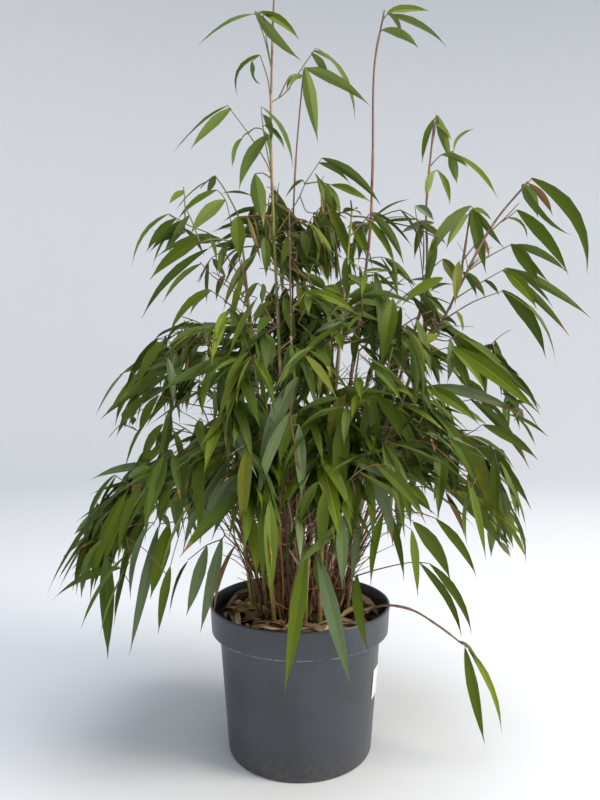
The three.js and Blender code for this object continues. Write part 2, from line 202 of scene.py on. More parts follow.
# Living culms: a green cane with a waxy bloom that turns yellow towards its foot and purple brown above.
def makeCulmMaterial(name, foot, body, head, speck):
    material = newMaterial(name, body, 0.42)
    place = addGrain(material, 2.5, 0.06, rough=(0.34, 0.55))
    height = addNode(material, "ShaderNodeSeparateXYZ", {}, {"Vector": place}).outputs["Z"]
    share = addNode(material, "ShaderNodeMapRange", {"From Min": 130 * mm, "From Max": 850 * mm},
                    {"Value": height})
    ramp = addNode(material, "ShaderNodeValToRGB", {}, {"Fac": share.outputs["Result"]})
    stops = ramp.color_ramp.elements
    stops[0].color = colour(foot)
    stops[1].color = colour(head)
    stops[1].position = 0.72
    for position, tone in ((0.3, body), (0.58, body)):
        stops.new(position).color = colour(tone)
    blots = addNode(material, "ShaderNodeTexNoise", {"Scale": 1 / (6 * mm), "Detail": 4}, {"Vector": place})
    amount = addNode(material, "ShaderNodeMapRange", {"From Min": 0.5, "From Max": 0.75, "To Max": 0.6},
                     {"Value": blots.outputs["Fac"]})
    wire(material, "Base Color", layOver(material, ramp.outputs["Color"], speck, amount.outputs["Result"]))
    return material


materials["greenCane"] = makeCulmMaterial("greenCane", "929036", "7f8c36", "80604f", "a9a256")
materials["darkCane"] = makeCulmMaterial("darkCane", "6b5a3a", "6d5340", "75504a", "8d6a50")
materials["caneJoint"] = newMaterial("caneJoint", "9c6a55", 0.6)


# The pot: the solid's own outline with its edges rounded, in millimetres.
pot = {
    "height": 152, "rimRadius": 95, "collarHeight": 28, "collarFootRadius": 92.6, "shoulderRadius": 84.6,
    "footRadius": 75, "wall": 2.4, "floor": 3, "baseRecess": 1.2, "footRing": 4, "steps": 144,
    "crispFrom": 42,  # degrees between two faces
    "slots": 8, "slotRadius": 5, "slotStretch": 1.6, "slotDepth": 0.9, "slotDistance": 60,
}
potLedge = pot["height"] - pot["collarHeight"]  # where the collar starts
compostTop = 135


# Moulded polypropylene, slate grey: satin, with a broken pale line under the collar that is painted highlight
# with some dust, and soil dust low down.
def makePotMaterial():
    material = newMaterial("slatePolypropylene", "444a50", 0.5, Specular_IOR_Level=0.6)
    place = addGrain(material, 0.7, 0.03, rough=(0.32, 0.48))
    base = addMottle(material, place, "30363c", "393f47", 60, 0.45)
    height = addNode(material, "ShaderNodeSeparateXYZ", {}, {"Vector": place}).outputs["Z"]
    # Painted highlight with some dust: a broken pale line along the collar's lower edge.
    edge = potLedge * mm + 0.3 * mm
    atLedge = addNode(material, "ShaderNodeMath", {"operation": "COMPARE", 1: edge, 2: 0.9 * mm},
                      {0: height}).outputs[0]
    ledgeLineBreaks = addMottle(material, place, "000000", "ffffff", 9, 0.5)
    ledgeHighlightAndDust = layOver(material, base, "7f868b", product(material, atLedge, ledgeLineBreaks))
    low = addNode(material, "ShaderNodeMapRange", {"From Min": 28 * mm, "From Max": 0.0, "To Max": 0.5},
                  {"Value": height})
    dust = addMottle(material, place, "000000", "ffffff", 5, 0.4)
    dusty = layOver(material, ledgeHighlightAndDust, "6a5a49", product(material, low.outputs["Result"], dust))
    wire(material, "Base Color", dusty)
    return material


# Potting compost, moist: nearly black peat with brown fibre, matt.
def makeCompostMaterial():
    material = newMaterial("moistCompost", "33261f", 0.95)
    place = addGrain(material, 2.5, 1.2)
    wire(material, "Base Color", addMottle(material, place, "30251f", "604d42", 7, 0.5))
    return material


materials["pot"] = makePotMaterial()
materials["compost"] = makeCompostMaterial()
materials["darkCrumb"] = newMaterial("darkCrumb", "3a2c25", 0.95)
materials["barkCrumb"] = newMaterial("barkCrumb", "6b5243", 0.9)
materials["sticker"] = newMaterial("sticker", "e9e9e6", 0.35)  # coated paper label, blank
addGrain(materials["sticker"], 1.2, 0.02)
print("materials:", len(materials))


# Pieces

# A finished piece: its mesh from a bmesh, with the materials that its faces' numbers mean.
def makePiece(name, shape, materialNames, replaced=(), smooth=True):
    mesh = bpy.data.meshes.new(name)
    shape.to_mesh(mesh)
    shape.free()
    piece = bpy.data.objects.new(name, mesh)
    scene.collection.objects.link(piece)
    for materialName in materialNames:
        mesh.materials.append(materials[materialName])
    if smooth:
        mesh.shade_smooth()
    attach(piece, "root")
    if replaced:
        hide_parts(*replaced)
    print(f"{name}: {len(mesh.polygons)} faces")
    return piece


# A body turned round the Z axis from its half outline, given as (radius, height) in millimetres.
def turned(outline, steps):
    shape = bmesh.new()
    corners = [shape.verts.new((radius * mm, 0, height * mm)) for radius, height in outline]
    for first, second in zip(corners, corners[1:]):
        shape.edges.new((first, second))
    bmesh.ops.spin(shape, geom=shape.verts[:] + shape.edges[:], cent=(0, 0, 0), axis=(0, 0, 1),
                   angle=math.tau, steps=steps, use_merge=True)
    bmesh.ops.remove_doubles(shape, verts=shape.verts[:], dist=1e-6)
    bmesh.ops.recalc_face_normals(shape, faces=shape.faces[:])
    return shape


# Round tubes along routes, joined as one bmesh. A route is a list of (place, radius), with its material's
# number.
def tubes(routes, roundness=1):
    line = bpy.data.curves.new("tubes", "CURVE")
    line.dimensions = "3D"
    line.bevel_depth = 1
    line.bevel_resolution = roundness
    line.use_fill_caps = True
    for number in range(max(number for _, number in routes) + 1):
        line.materials.append(None)
    for route, number in routes:
        spline = line.splines.new("POLY")
        spline.points.add(len(route) - 1)
        spline.material_index = number
        for corner, (place, radius) in zip(spline.points, route):
            corner.co = (*place, 1)
            corner.radius = radius
    holder = bpy.data.objects.new("tubes", line)
    scene.collection.objects.link(holder)
    bpy.context.view_layer.update()
    mesh = bpy.data.meshes.new_from_object(holder.evaluated_get(bpy.context.evaluated_depsgraph_get()))
    shape = bmesh.new()
    shape.from_mesh(mesh)
    bmesh.ops.remove_doubles(shape, verts=shape.verts[:], dist=1e-7)
    bpy.data.objects.remove(holder)
    bpy.data.curves.remove(line)
    bpy.data.meshes.remove(mesh)
    return shape


# The pot's outline, and its foot with drainage slots.
def makePot():
    p, ledge = pot, potLedge
    foot, shoulder, collar, rim = p["footRadius"], p["shoulderRadius"], p["collarFootRadius"], p["rimRadius"]
    ring, recess, wall, top = foot - p["footRing"], p["baseRecess"], p["wall"], p["height"]
    outline = [
        (0, recess), (ring - 3, recess), (ring - 2, 0), (foot - 2.2, 0), (foot - 0.9, 0.7), (foot, 2.5),
        (shoulder - 0.2, ledge - 3), (shoulder + 0.2, ledge - 1.2), (shoulder + 1.2, ledge - 0.5),
        (collar - 0.8, ledge - 0.3), (collar, ledge + 0.4), (collar + 0.2, ledge + 1.6), (rim - 0.9, top - 4),
        (rim - 0.5, top - 3), (rim - 0.4, top - 1.2), (rim - 0.8, top - 0.3), (rim - 1.2, top),
        (rim - wall + 0.3, top), (rim - wall - 0.2, top - 0.4), (rim - wall - 0.6, top - 1.2),
        (collar - wall, ledge + wall), (shoulder - wall, ledge + wall - 1), (foot - wall, p["floor"]),
        (0, p["floor"]),
    ]
    shape = turned(outline, p["steps"])
    for edge in shape.edges:  # crisp where the mould parts meet, soft elsewhere
        if len(edge.link_faces) == 2 and edge.calc_face_angle() > math.radians(p["crispFrom"]):
            edge.smooth = False
    makePiece("pot_wall", shape, ["pot"], ["pot"])
    slots, stretch, radius = bmesh.new(), Matrix.Diagonal((p["slotStretch"], 1, 1, 1)), p["slotRadius"]
    for number in range(p["slots"]):
        turn = Matrix.Rotation(math.tau * number / p["slots"], 4, "Z")
        at = Matrix.Translation((p["slotDistance"] * mm, 0, (recess - 0.3) * mm))
        bmesh.ops.create_cone(slots, cap_ends=True, segments=20, radius1=(radius - 0.3) * mm,
                              radius2=radius * mm, depth=p["slotDepth"] * mm, matrix=turn @ at @ stretch)
    makePiece("pot_drain_slots", slots, ["darkCrumb"], smooth=False)


# A blank sticker low on the right-hand side of the pot, wrapped round the wall.
label = {"bearing": -10, "width": 44, "low": 62, "high": 92, "proud": 0.25, "thickness": 0.12}


def makeLabel():
    shape = bmesh.new()
    bmesh.ops.create_grid(shape, x_segments=16, y_segments=4, size=1)
    for corner in shape.verts:
        height = label["low"] + (corner.co.y + 1) / 2 * (label["high"] - label["low"])
        wall = pot["footRadius"] + (pot["shoulderRadius"] - pot["footRadius"]) * height / potLedge
        angle = math.radians(label["bearing"]) + corner.co.x * label["width"] / 2 / wall
        radius = (wall + label["proud"]) * mm
        corner.co = (radius * math.cos(angle), radius * math.sin(angle), height * mm)
    bmesh.ops.recalc_face_normals(shape, faces=shape.faces[:])
    bmesh.ops.solidify(shape, geom=shape.faces[:], thickness=label["thickness"] * mm)
    bmesh.ops.recalc_face_normals(shape, faces=shape.faces[:])
    makePiece("blank_label", shape, ["sticker"], smooth=False)


makePot()
makeLabel()


# Routes

# The middle line of a culm's solid, found from its rings of corners along its longest side.
def routeOf(node, ringDistance=7):
    low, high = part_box(node)
    axis = max(range(3), key=lambda side: high[side] - low[side])
    corners = {tuple(round(value, 5) for value in corner.co): corner.co
               for corner in cadNodes[node].data.vertices}
    ordered = sorted(corners.values(), key=lambda place: place[axis])
    rings = [[ordered[0]]]
    for place in ordered[1:]:
        if place[axis] - rings[-1][-1][axis] > ringDistance * mm:
            rings.append([])
        rings[-1].append(place)
    whole = [ring for ring in rings if len(ring) >= 4]
    middles = [sum(ring, Vector()) / len(ring) for ring in whole]
    return smoothLine(middles)


# A smooth line through places, as closely spaced points.
def smoothLine(places, spacing=5):
    ends = [places[0] * 2 - places[1], *places, places[-1] * 2 - places[-2]]
    line = []
    for before, start, end, after in zip(ends, ends[1:], ends[2:], ends[3:]):
        steps = max(2, round((end - start).length / (spacing * mm)))
        for step in range(steps):
            t = step / steps
            line.append(0.5 * (2 * start + (end - before) * t
                               + (2 * before - 5 * start + 4 * end - after) * t * t
                               + (3 * start - before - 3 * end + after) * t ** 3))
    return [*line, places[-1].copy()]


# The place at a share of the way along a bent line.
def bentPlace(start, bend, end, along):
    return start.lerp(bend, along).lerp(bend.lerp(end, along), along)


# A line between two places in a few steps, raised in the middle by a share of its length.
def arch(start, end, rise, steps):
    middle = (start + end) / 2 + up * (rise * (end - start).length * 2)
    return [bentPlace(start, middle, end, t / steps) for t in range(steps + 1)]


# The place at a share of the way along a line of evenly spaced places.
def pointOn(line, share):
    step = share * (len(line) - 1)
    number = min(int(step), len(line) - 2)
    return line[number].lerp(line[number + 1], step - number)


routes = {node: routeOf(node) for node in cadNodes
          if node == "fork_bough" or "culm" in node and not node.endswith("spray")}


def nearestOn(line, place):
    return min(line, key=lambda spot: (spot - place).length)


# Culms: internodes between swollen joints, a sheath round the lower part of some, and tufts of bare side
# twigs at the joints between two heights. Millimetres, and shares of a length or radius.
culmLook = {
    "firstJoint": 22, "lastJoint": 12, "shortest": 32, "longest": 74, "lengthening": 1.17,
    "unevenness": (0.92, 1.08), "swelling": 1.3, "ring": 1.1,
    "sheathShare": 0.55, "sheathCover": (0.35, 0.75), "sheathThickness": 0.25,
    "tufted": (230, 500), "tuft": (3, 7), "tuftLength": (12, 52), "twigRadius": 0.45,
}
culmRadii = {"thick": (2.3, 1.0), "thin": (1.4, 0.8)}  # at the foot and at the head
thinCulms = ["third_culm", "fork_bough", "lowest_culm", "front_culm", "high_culm_front"]
darkCulms = ["second_culm", "third_culm", "right_culm", "arching_culm", "fork_bough", "lowest_culm"]
brownCanes = [*darkCulms, "high_culm_front"]  # the last one stands among the green ones, browned


def makeCulm(node, seed):
    draw, line, look = randomFor(seed), routes[node], culmLook
    footRadius, headRadius = (radius * mm for radius in culmRadii["thin" if node in thinCulms else "thick"])
    lengths = [0]
    for first, second in zip(line, line[1:]):
        lengths.append(lengths[-1] + (second - first).length)
    total = lengths[-1]
    joints, place, internode = [], look["firstJoint"] * mm, look["shortest"]
    while place < total - look["lastJoint"] * mm:
        joints.append(place)
        place += internode * draw.uniform(*look["unevenness"]) * mm
        internode = min(look["longest"], internode * look["lengthening"])

    def at(length):
        number = next((i for i, reached in enumerate(lengths[1:], 1) if reached >= length), len(lengths) - 1)
        share = (length - lengths[number - 1]) / max(lengths[number] - lengths[number - 1], 1e-9)
        return line[number - 1].lerp(line[number], min(max(share, 0), 1))

    def radiusAt(length):
        return footRadius + (headRadius - footRadius) * length / total

    cane = [(at(length), radiusAt(length)) for length in sorted({0, total, *lengths, *joints})]
    rings, sheaths, twigs = [], [], []
    for number, joint in enumerate(joints):
        radius, ring = radiusAt(joint), look["ring"] * mm
        rings.append([(at(joint + offset * ring), radius * size) for offset, size in
                      ((-1.2, 0.98), (-0.5, look["swelling"]), (0.1, look["swelling"]), (0.9, 0.98))])
        nextJoint = joints[number + 1] if number + 1 < len(joints) else total
        if draw.random() < look["sheathShare"]:
            cover = (nextJoint - joint) * draw.uniform(*look["sheathCover"])
            skin = look["sheathThickness"] * mm
            sheaths.append([(at(joint + cover * t), radiusAt(joint + cover * t) + skin * (0.7 + 0.6 * t))
                            for t in (0, 0.25, 0.5, 0.75, 1)])
        bare = node in thinCulms or not look["tufted"][0] < at(joint).z / mm < look["tufted"][1]
        for _ in range(0 if bare else draw.randint(*look["tuft"])):
            way = (at(joint + 2 * mm) - at(joint)).normalized()
            side = way.orthogonal().normalized()
            side.rotate(Matrix.Rotation(draw.uniform(0, math.tau), 3, way))
            reach, start = draw.uniform(*look["tuftLength"]) * mm, at(joint)
            middle, end = start + (side + way * 1.3) * reach * 0.3, start + (side + way * 0.9) * reach * 0.7
            thick = look["twigRadius"] * mm
            twigs.append([(start, thick), (middle, thick * 0.8), (end, thick * 0.5)])
    shape = tubes([(cane, 0)] + [(ring, 1) for ring in rings] + [(sheath, 2) for sheath in sheaths]
                  + [(twig, draw.choice((3, 3, 4))) for twig in twigs], roundness=3)
    dark = node in darkCulms
    names = ["darkCane" if node in brownCanes else "greenCane", "caneJoint",
             "pinkSheath" if dark else "strawSheath", "brownTwig", "strawStem"]
    makePiece(node + "_cane", shape, names, [node])


for number, node in enumerate(sorted(routes)):
    makeCulm(node, 300 + number)


# The foot of the clump: thin old stems that fan out of the compost, with broken side twigs between them.
# Millimetres, leans as a share of the height, and how often each tone comes.
stems = {
    "count": 260, "footRadius": 45, "shortest": 60, "longest": 235, "lean": 0.34, "steepest": 0.46,
    "scatter": 0.4, "kink": 3, "radii": (0.5, 0.6, 0.8, 1.2), "dealt": (4, 4, 1, 3, 4, 4),
    "sideTwigs": 440, "sideLength": (14, 62), "sideRadii": (0.5, 0.42, 0.25), "sideDealt": (4, 3, 1, 3, 4, 4),
    "sheaths": 130, "sheathLength": (16, 46), "sheathBow": (-0.1, 0.15), "sheathWidth": (3, 7),
    "sheathFold": (0.3, 0.9),
}
stemTones = ["strawStem", "umberStem", "greenStem", "greyStem", "brownTwig", "russetStem"]
stemLines = []


# A place on an old stem, the way that the stem runs there, and a level way out of it.
def pickOnStem(draw, firstStep):
    places = draw.choice(stemLines)
    number = draw.randrange(firstStep, firstStep + 3)
    start = places[number].lerp(places[number + 1], draw.random())
    along = (places[number + 1] - places[number]).normalized()
    return start, along, Vector((draw.gauss(0, 1), draw.gauss(0, 1), 0)).normalized()


def makeOldStems():
    draw, s, lines = randomFor(41), stems, []
    for _ in range(s["count"]):
        angle = draw.uniform(0, math.tau)
        radius = s["footRadius"] * math.sqrt(draw.random())
        foot = Vector((math.cos(angle) * radius, math.sin(angle) * radius, compostTop - 2)) * mm
        height = draw.uniform(s["shortest"], s["longest"]) * mm
        outward = Vector((foot.x, foot.y, 0)) / (s["footRadius"] * mm)
        lean = (outward + Vector((draw.gauss(0, s["scatter"]), draw.gauss(0, s["scatter"]), 0))) * s["lean"]
        lean *= min(1, s["steepest"] / lean.length)
        kink = Vector((draw.gauss(0, 1), draw.gauss(0, 1), 0)) * s["kink"] * mm
        thick = draw.choice(s["radii"]) * mm
        places = [foot + lean * (height * t ** 1.5) + up * (height * t) + kink * math.sin(5 * t)
                  for t in (0, 0.2, 0.4, 0.6, 0.8, 1)]
        stemLines.append(places)
        lines.append(([(place, thick * (1 - 0.4 * t / 5)) for t, place in enumerate(places)],
                      draw.choices(range(6), s["dealt"])[0]))
    for _ in range(s["sideTwigs"]):
        start, along, side = pickOnStem(draw, 1)
        length = draw.uniform(*s["sideLength"]) * mm
        way = (along * draw.uniform(0.3, 1.2) + side).normalized()
        bend = start + way * (length * 0.5) + along * (length * 0.08)
        places = (start, bend, start + way * length)
        lines.append(([(place, radius * mm) for place, radius in zip(places, s["sideRadii"])],
                      draw.choices(range(6), s["sideDealt"])[0]))
    makePiece("old_stems", tubes(lines), stemTones, ["stem_clump"])


makeOldStems()


# Leaves

# The leaf: a long blade with a fine drip tip, two faces thick, with a raised midrib strip.
leafShape = {
    "rows": [0, 0.03, 0.09, 0.19, 0.34, 0.5, 0.66, 0.79, 0.88, 1],  # shares of its length
    "midrib": 0.07, "ribEnd": 0.85, "thickness": 0.3,  # shares of its width and length, and millimetres
    "fullAt": 0.3, "shoulder": 0.62, "footWidth": 0.09, "fullness": (3.1, 1.1), "bladeEnd": 0.93, "tail": 0.05,
    "fold": 0.26, "twist": 0.3, "wave": 0.1, "waves": 9,
    "brownTips": 0.04, "agedTips": 0.07,  # how many leaves have a brown tip, and how many a brown or yellow one
    "upper": 0, "underside": 1, "rib": 2, "tip": 3, "tipUnderside": 4,  # the numbers of its parts
}


# Half the blade's width as a share: a rounded foot, full at a third, then a taper into a thin tail.
def leafOutline(along):
    look = leafShape
    blade = (1 - min(1, along / look["bladeEnd"]) ** look["fullness"][0]) ** look["fullness"][1]
    foot = max(min(1, along / look["fullAt"]) ** look["shoulder"], look["footWidth"])
    return max(blade, look["tail"] * (1 - along)) * foot


def makeLeafBlank():
    rows, look = leafShape["rows"], leafShape
    blank = bmesh.new()
    bmesh.ops.create_grid(blank, x_segments=3, y_segments=len(rows) - 1, size=1)
    sheet = blank.loops.layers.uv.new("blade")
    columns = (-1, -look["midrib"], look["midrib"], 1)
    for face in blank.faces:
        middle = face.calc_center_median()
        face.material_index = look["rib"] if abs(middle.x) < 0.2 else look["upper"]
        if middle.y > 0.5:  # the last two rows
            face.material_index = look["tip"]
        for loop in face.loops:
            loop[sheet].uv = ((loop.vert.co.x + 1) / 2, (loop.vert.co.y + 1) / 2)
    for corner in blank.verts:
        column = round((corner.co.x + 1) * 1.5)
        along = rows[round((corner.co.y + 1) / 2 * (len(rows) - 1))]
        corner.co = (columns[column] * leafOutline(along), along, 0)
    copied = bmesh.ops.duplicate(blank, geom=blank.verts[:] + blank.edges[:] + blank.faces[:])["geom"]
    undersides = [item for item in copied if isinstance(item, bmesh.types.BMFace)]
    bmesh.ops.reverse_faces(blank, faces=undersides)
    for face in undersides:
        tip = face.material_index == look["tip"]
        face.material_index = look["tipUnderside"] if tip else look["underside"]
    for corner in {corner for face in undersides for corner in face.verts}:
        if abs(corner.co.x) < 0.2 and 0 < corner.co.y < look["ribEnd"]:
            corner.co.z = -1
    bmesh.ops.remove_doubles(blank, verts=blank.verts[:], dist=1e-5)
    above = (look["upper"], look["rib"], look["tip"])
    for edge in blank.edges:
        sides = {face.material_index in above for face in edge.link_faces}
        first, second = (corner.co for corner in edge.verts)
        onMidrib = max(abs(first.x), abs(second.x)) <= look["midrib"] and abs(first.y - second.y) > 0.01
        edge.smooth = len(sides) == 1 and not onMidrib
    return blank


leafBlank = makeLeafBlank()


def nearestRow(along):
    rows = leafShape["rows"]
    return min(range(len(rows)), key=lambda row: abs(rows[row] - along))


leafCorners = [(corner, corner.co.x, nearestRow(corner.co.y), corner.co.z) for corner in leafBlank.verts]
leafFaces = [(face, face.material_index) for face in leafBlank.faces]
leafScratch = bpy.data.meshes.new("leafScratch")
toneNames = list(leafTones)
greens = ["deepLeaf", "forestLeaf", "midLeaf", "freshLeaf", "sunlitLeaf", "silverLeaf", "oliveLeaf"]


# One leaf along a bent line, added to a bundle: width in millimetres, fold and twist as on the real blade.
def addLeaf(bundle, start, bend, end, width, facing, tone, draw, fold):
    rows, waves = leafShape["rows"], leafShape["waves"]
    twist = draw.gauss(0, leafShape["twist"])
    wave, phase = draw.uniform(0, leafShape["wave"]), draw.uniform(0, math.tau)
    frames = []
    for along in rows:
        middle = bentPlace(start, bend, end, along)
        tangent = ((bend - start).lerp(end - bend, along)).normalized()
        side = tangent.cross(facing).normalized()
        side.rotate(Matrix.Rotation(twist * along, 3, tangent))
        frames.append((middle, side, side.cross(tangent)))
    half, thickness = width / 2 * mm, leafShape["thickness"] * mm
    for corner, across, row, under in leafCorners:
        middle, side, out = frames[row]
        lift = abs(across) * half * (fold + wave * math.sin(waves * rows[row] + phase + across))
        corner.co = middle + side * (across * half) + out * (lift + under * thickness)
    aged = draw.random()
    tip = "yellowTip" if aged < leafShape["agedTips"] else tone
    if aged < leafShape["brownTips"]:
        tip = "brownTip"
    # Undersides are paler than tops. The lighter tones get the paler one and the rest the darker one, so the
    # painted light and shade carry on to the underside.
    under = "leafUnderside" if tone in ("freshLeaf", "sunlitLeaf", "silverLeaf") else "deepUnderside"
    rib = ribTones.get(tone, tone)
    if tone not in ribTones:  # a dry leaf is the same colour all over
        tip = under = tone
    chosen = [tone, under, rib, tip, under if tip == tone else tip]
    numbers = [toneNames.index(name) for name in chosen]
    for face, part in leafFaces:
        face.material_index = numbers[part]
    leafBlank.to_mesh(leafScratch)
    bundle.from_mesh(leafScratch)


# The place that a leaf's line bends towards, so that its middle rises by a share of its length.
def bendOf(start, end, bow, facing):
    way = end - start
    out = up - way * (up.dot(way) / way.length_squared)
    if out.length < 0.3:  # a leaf that hangs bows the way that it faces
        out = facing - way * (facing.dot(way) / way.length_squared)
    return (start + end) / 2 + out.normalized() * (way.length * bow * 2)


def addBowedLeaf(bundle, start, end, bow, width, facing, tone, draw, fold=leafShape["fold"]):
    addLeaf(bundle, start, bendOf(start, end, bow, facing), end, width, facing, tone, draw, fold)


# Foliage by rule

# Whether a place lies in a mass's solid, or within a margin of its surface.
def insideTest(node):
    shape = bmesh.new()
    shape.from_mesh(cadNodes[node].data)
    tree = BVHTree.FromBMesh(shape)
    shape.free()
    way = Vector((0.11, 0.07, 1)).normalized()

    def isInside(place, margin=0):
        if margin and tree.find_nearest(place, margin * mm)[0] is not None:
            return True
        hits, start = 0, place
        hit = tree.ray_cast(start, way)[0]
        while hit is not None:
            hits += 1
            start = hit + way * 1e-5
            hit = tree.ray_cast(start, way)[0]
        return hits % 2 == 1

    return isInside


# How foliage grows, in millimetres, degrees and shares.
growth = {
    "spacing": 10, "tries": 60, "spotMargin": 0.6,  # where sprays stand in the solid
    "culmReach": 45, "joinCost": 2,  # how much of the culm bears twigs, and what a longer chain of twigs costs
    "twigRise": 0.07, "twigUnevenness": (0.4, 1.6), "twigRadius": 1.0,
    "thinnest": 0.45, "thinning": 0.84, "twigTaper": 0.25,
    "outward": 0.6, "stray": 34, "sway": 23,  # which way a spray points, and how it and its leaves scatter
    "leaves": (3, 6), "leafStep": 6.5, "fan": 32, "firstFan": 0.6, "moreFan": 0.25,
    "droop": 12, "droops": (0, 1.6), "pitches": (-84, 28),
    "attempts": 3, "shortening": 0.88,  # a leaf without room is tried again, shorter
    "checks": 10, "openingChecks": (3, 6, 10), "inward": 14, "clearFloor": 12,
    "facing": (0.55, 0.85), "roll": 0.55, "sameTone": 0.75,  # the face turns up and outward
    "slender": (0.125, 0.165), "leastWidth": 1.5, "bow": (0.01, 0.09),
    "curled": 0.5,  # how wide a dry leaf still is
}

# Openings where the photograph shows the wall through the crown: the middle pixel, half the width and height.
openings = [
    (350, 364, 19, 18), (478, 320, 24, 20), (414, 320, 10, 10), (388, 238, 22, 14), (158, 304, 22, 26),
    (124, 345, 20, 22), (216, 314, 9, 12), (226, 206, 20, 12), (300, 196, 20, 22), (442, 348, 14, 9),
    (247, 288, 6, 7), (118, 452, 16, 16), (395, 186, 24, 16), (450, 240, 12, 12), (520, 350, 22, 20),
    (545, 545, 17, 50), (505, 592, 48, 30), (152, 412, 14, 8), (181, 443, 11, 16), (150, 455, 13, 12),
    (190, 300, 12, 16), (462, 383, 12, 8), (492, 412, 13, 10), (464, 481, 8, 14), (456, 512, 9, 8),
]
# The leader shows in front of the foliage between two pixel heights, and so does the fork of its side twig:
# the leaves stand aside from them.
leaderShown = {"top": 168, "bottom": 372, "aside": 7, "fork": (288, 218), "forkRadius": 15}
leaderSeen = [(*pixelOf(place), place.y) for place in routes["leader_culm"]]


def inOpening(place):
    pixelX, pixelY = pixelOf(place)
    return any(((pixelX - x) / wide) ** 2 + ((pixelY - y) / high) ** 2 < 1 for x, y, wide, high in openings)


def hidesLeader(place):
    look = leaderShown
    pixelX, pixelY = pixelOf(place)
    if not look["top"] < pixelY < look["bottom"]:
        return False
    seenX, _, depth = min(leaderSeen, key=lambda spot: abs(spot[1] - pixelY))
    inFork = math.hypot(pixelX - look["fork"][0], pixelY - look["fork"][1]) < look["forkRadius"]
    return (inFork or abs(pixelX - seenX) < look["aside"]) and place.y < depth


# Leaves that are placed one by one show too: the cells of the picture that they cover, in pixels, and how deep
# they lie there. Of the checked places of another leaf, so many may be in front of them.
shownCells = {"size": 4, "steps": 12, "across": (-0.35, 0, 0.35), "mostHidden": 1}
shownDepths = {}


def cellOf(place):
    return tuple(int(pixel // shownCells["size"]) for pixel in pixelOf(place))


def markShown(start, bend, end, width, facing):
    side = (end - start).cross(facing).normalized() * (width * mm)
    for step in range(shownCells["steps"] + 1):
        along = step / shownCells["steps"]
        middle = bentPlace(start, bend, end, along)
        for across in shownCells["across"]:
            place = middle + side * across
            cell = cellOf(place)
            shownDepths[cell] = min(place.y, shownDepths.get(cell, place.y))


def hidesShown(place):
    return place.y < shownDepths.get(cellOf(place), place.y)


# Whether a leaf would point back into the crown, close an opening, or hide the leader or a placed leaf.
def isInTheWay(start, end):
    places = [start.lerp(end, step / growth["checks"]) for step in range(growth["checks"] + 1)]
    return (end.xy.length < start.xy.length - growth["inward"] * mm
            or any(inOpening(places[step]) for step in growth["openingChecks"])
            or any(hidesLeader(place) for place in places)
            or sum(hidesShown(place) for place in places) > shownCells["mostHidden"])


# The places of a mass's sprays, spread through its solid.
def spreadSprays(node, look, isInside, draw):
    low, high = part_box(node)
    spots = []
    for _ in range(look["sprays"] * growth["tries"]):
        spot = Vector(draw.uniform(low[side], high[side]) for side in range(3))
        near = any((spot - other).length < growth["spacing"] * mm for other in spots)
        if not near and isInside(spot, look["margin"] * growth["spotMargin"]) and not inOpening(spot):
            spots.append(spot)
        if len(spots) == look["sprays"]:
            break
    return spots


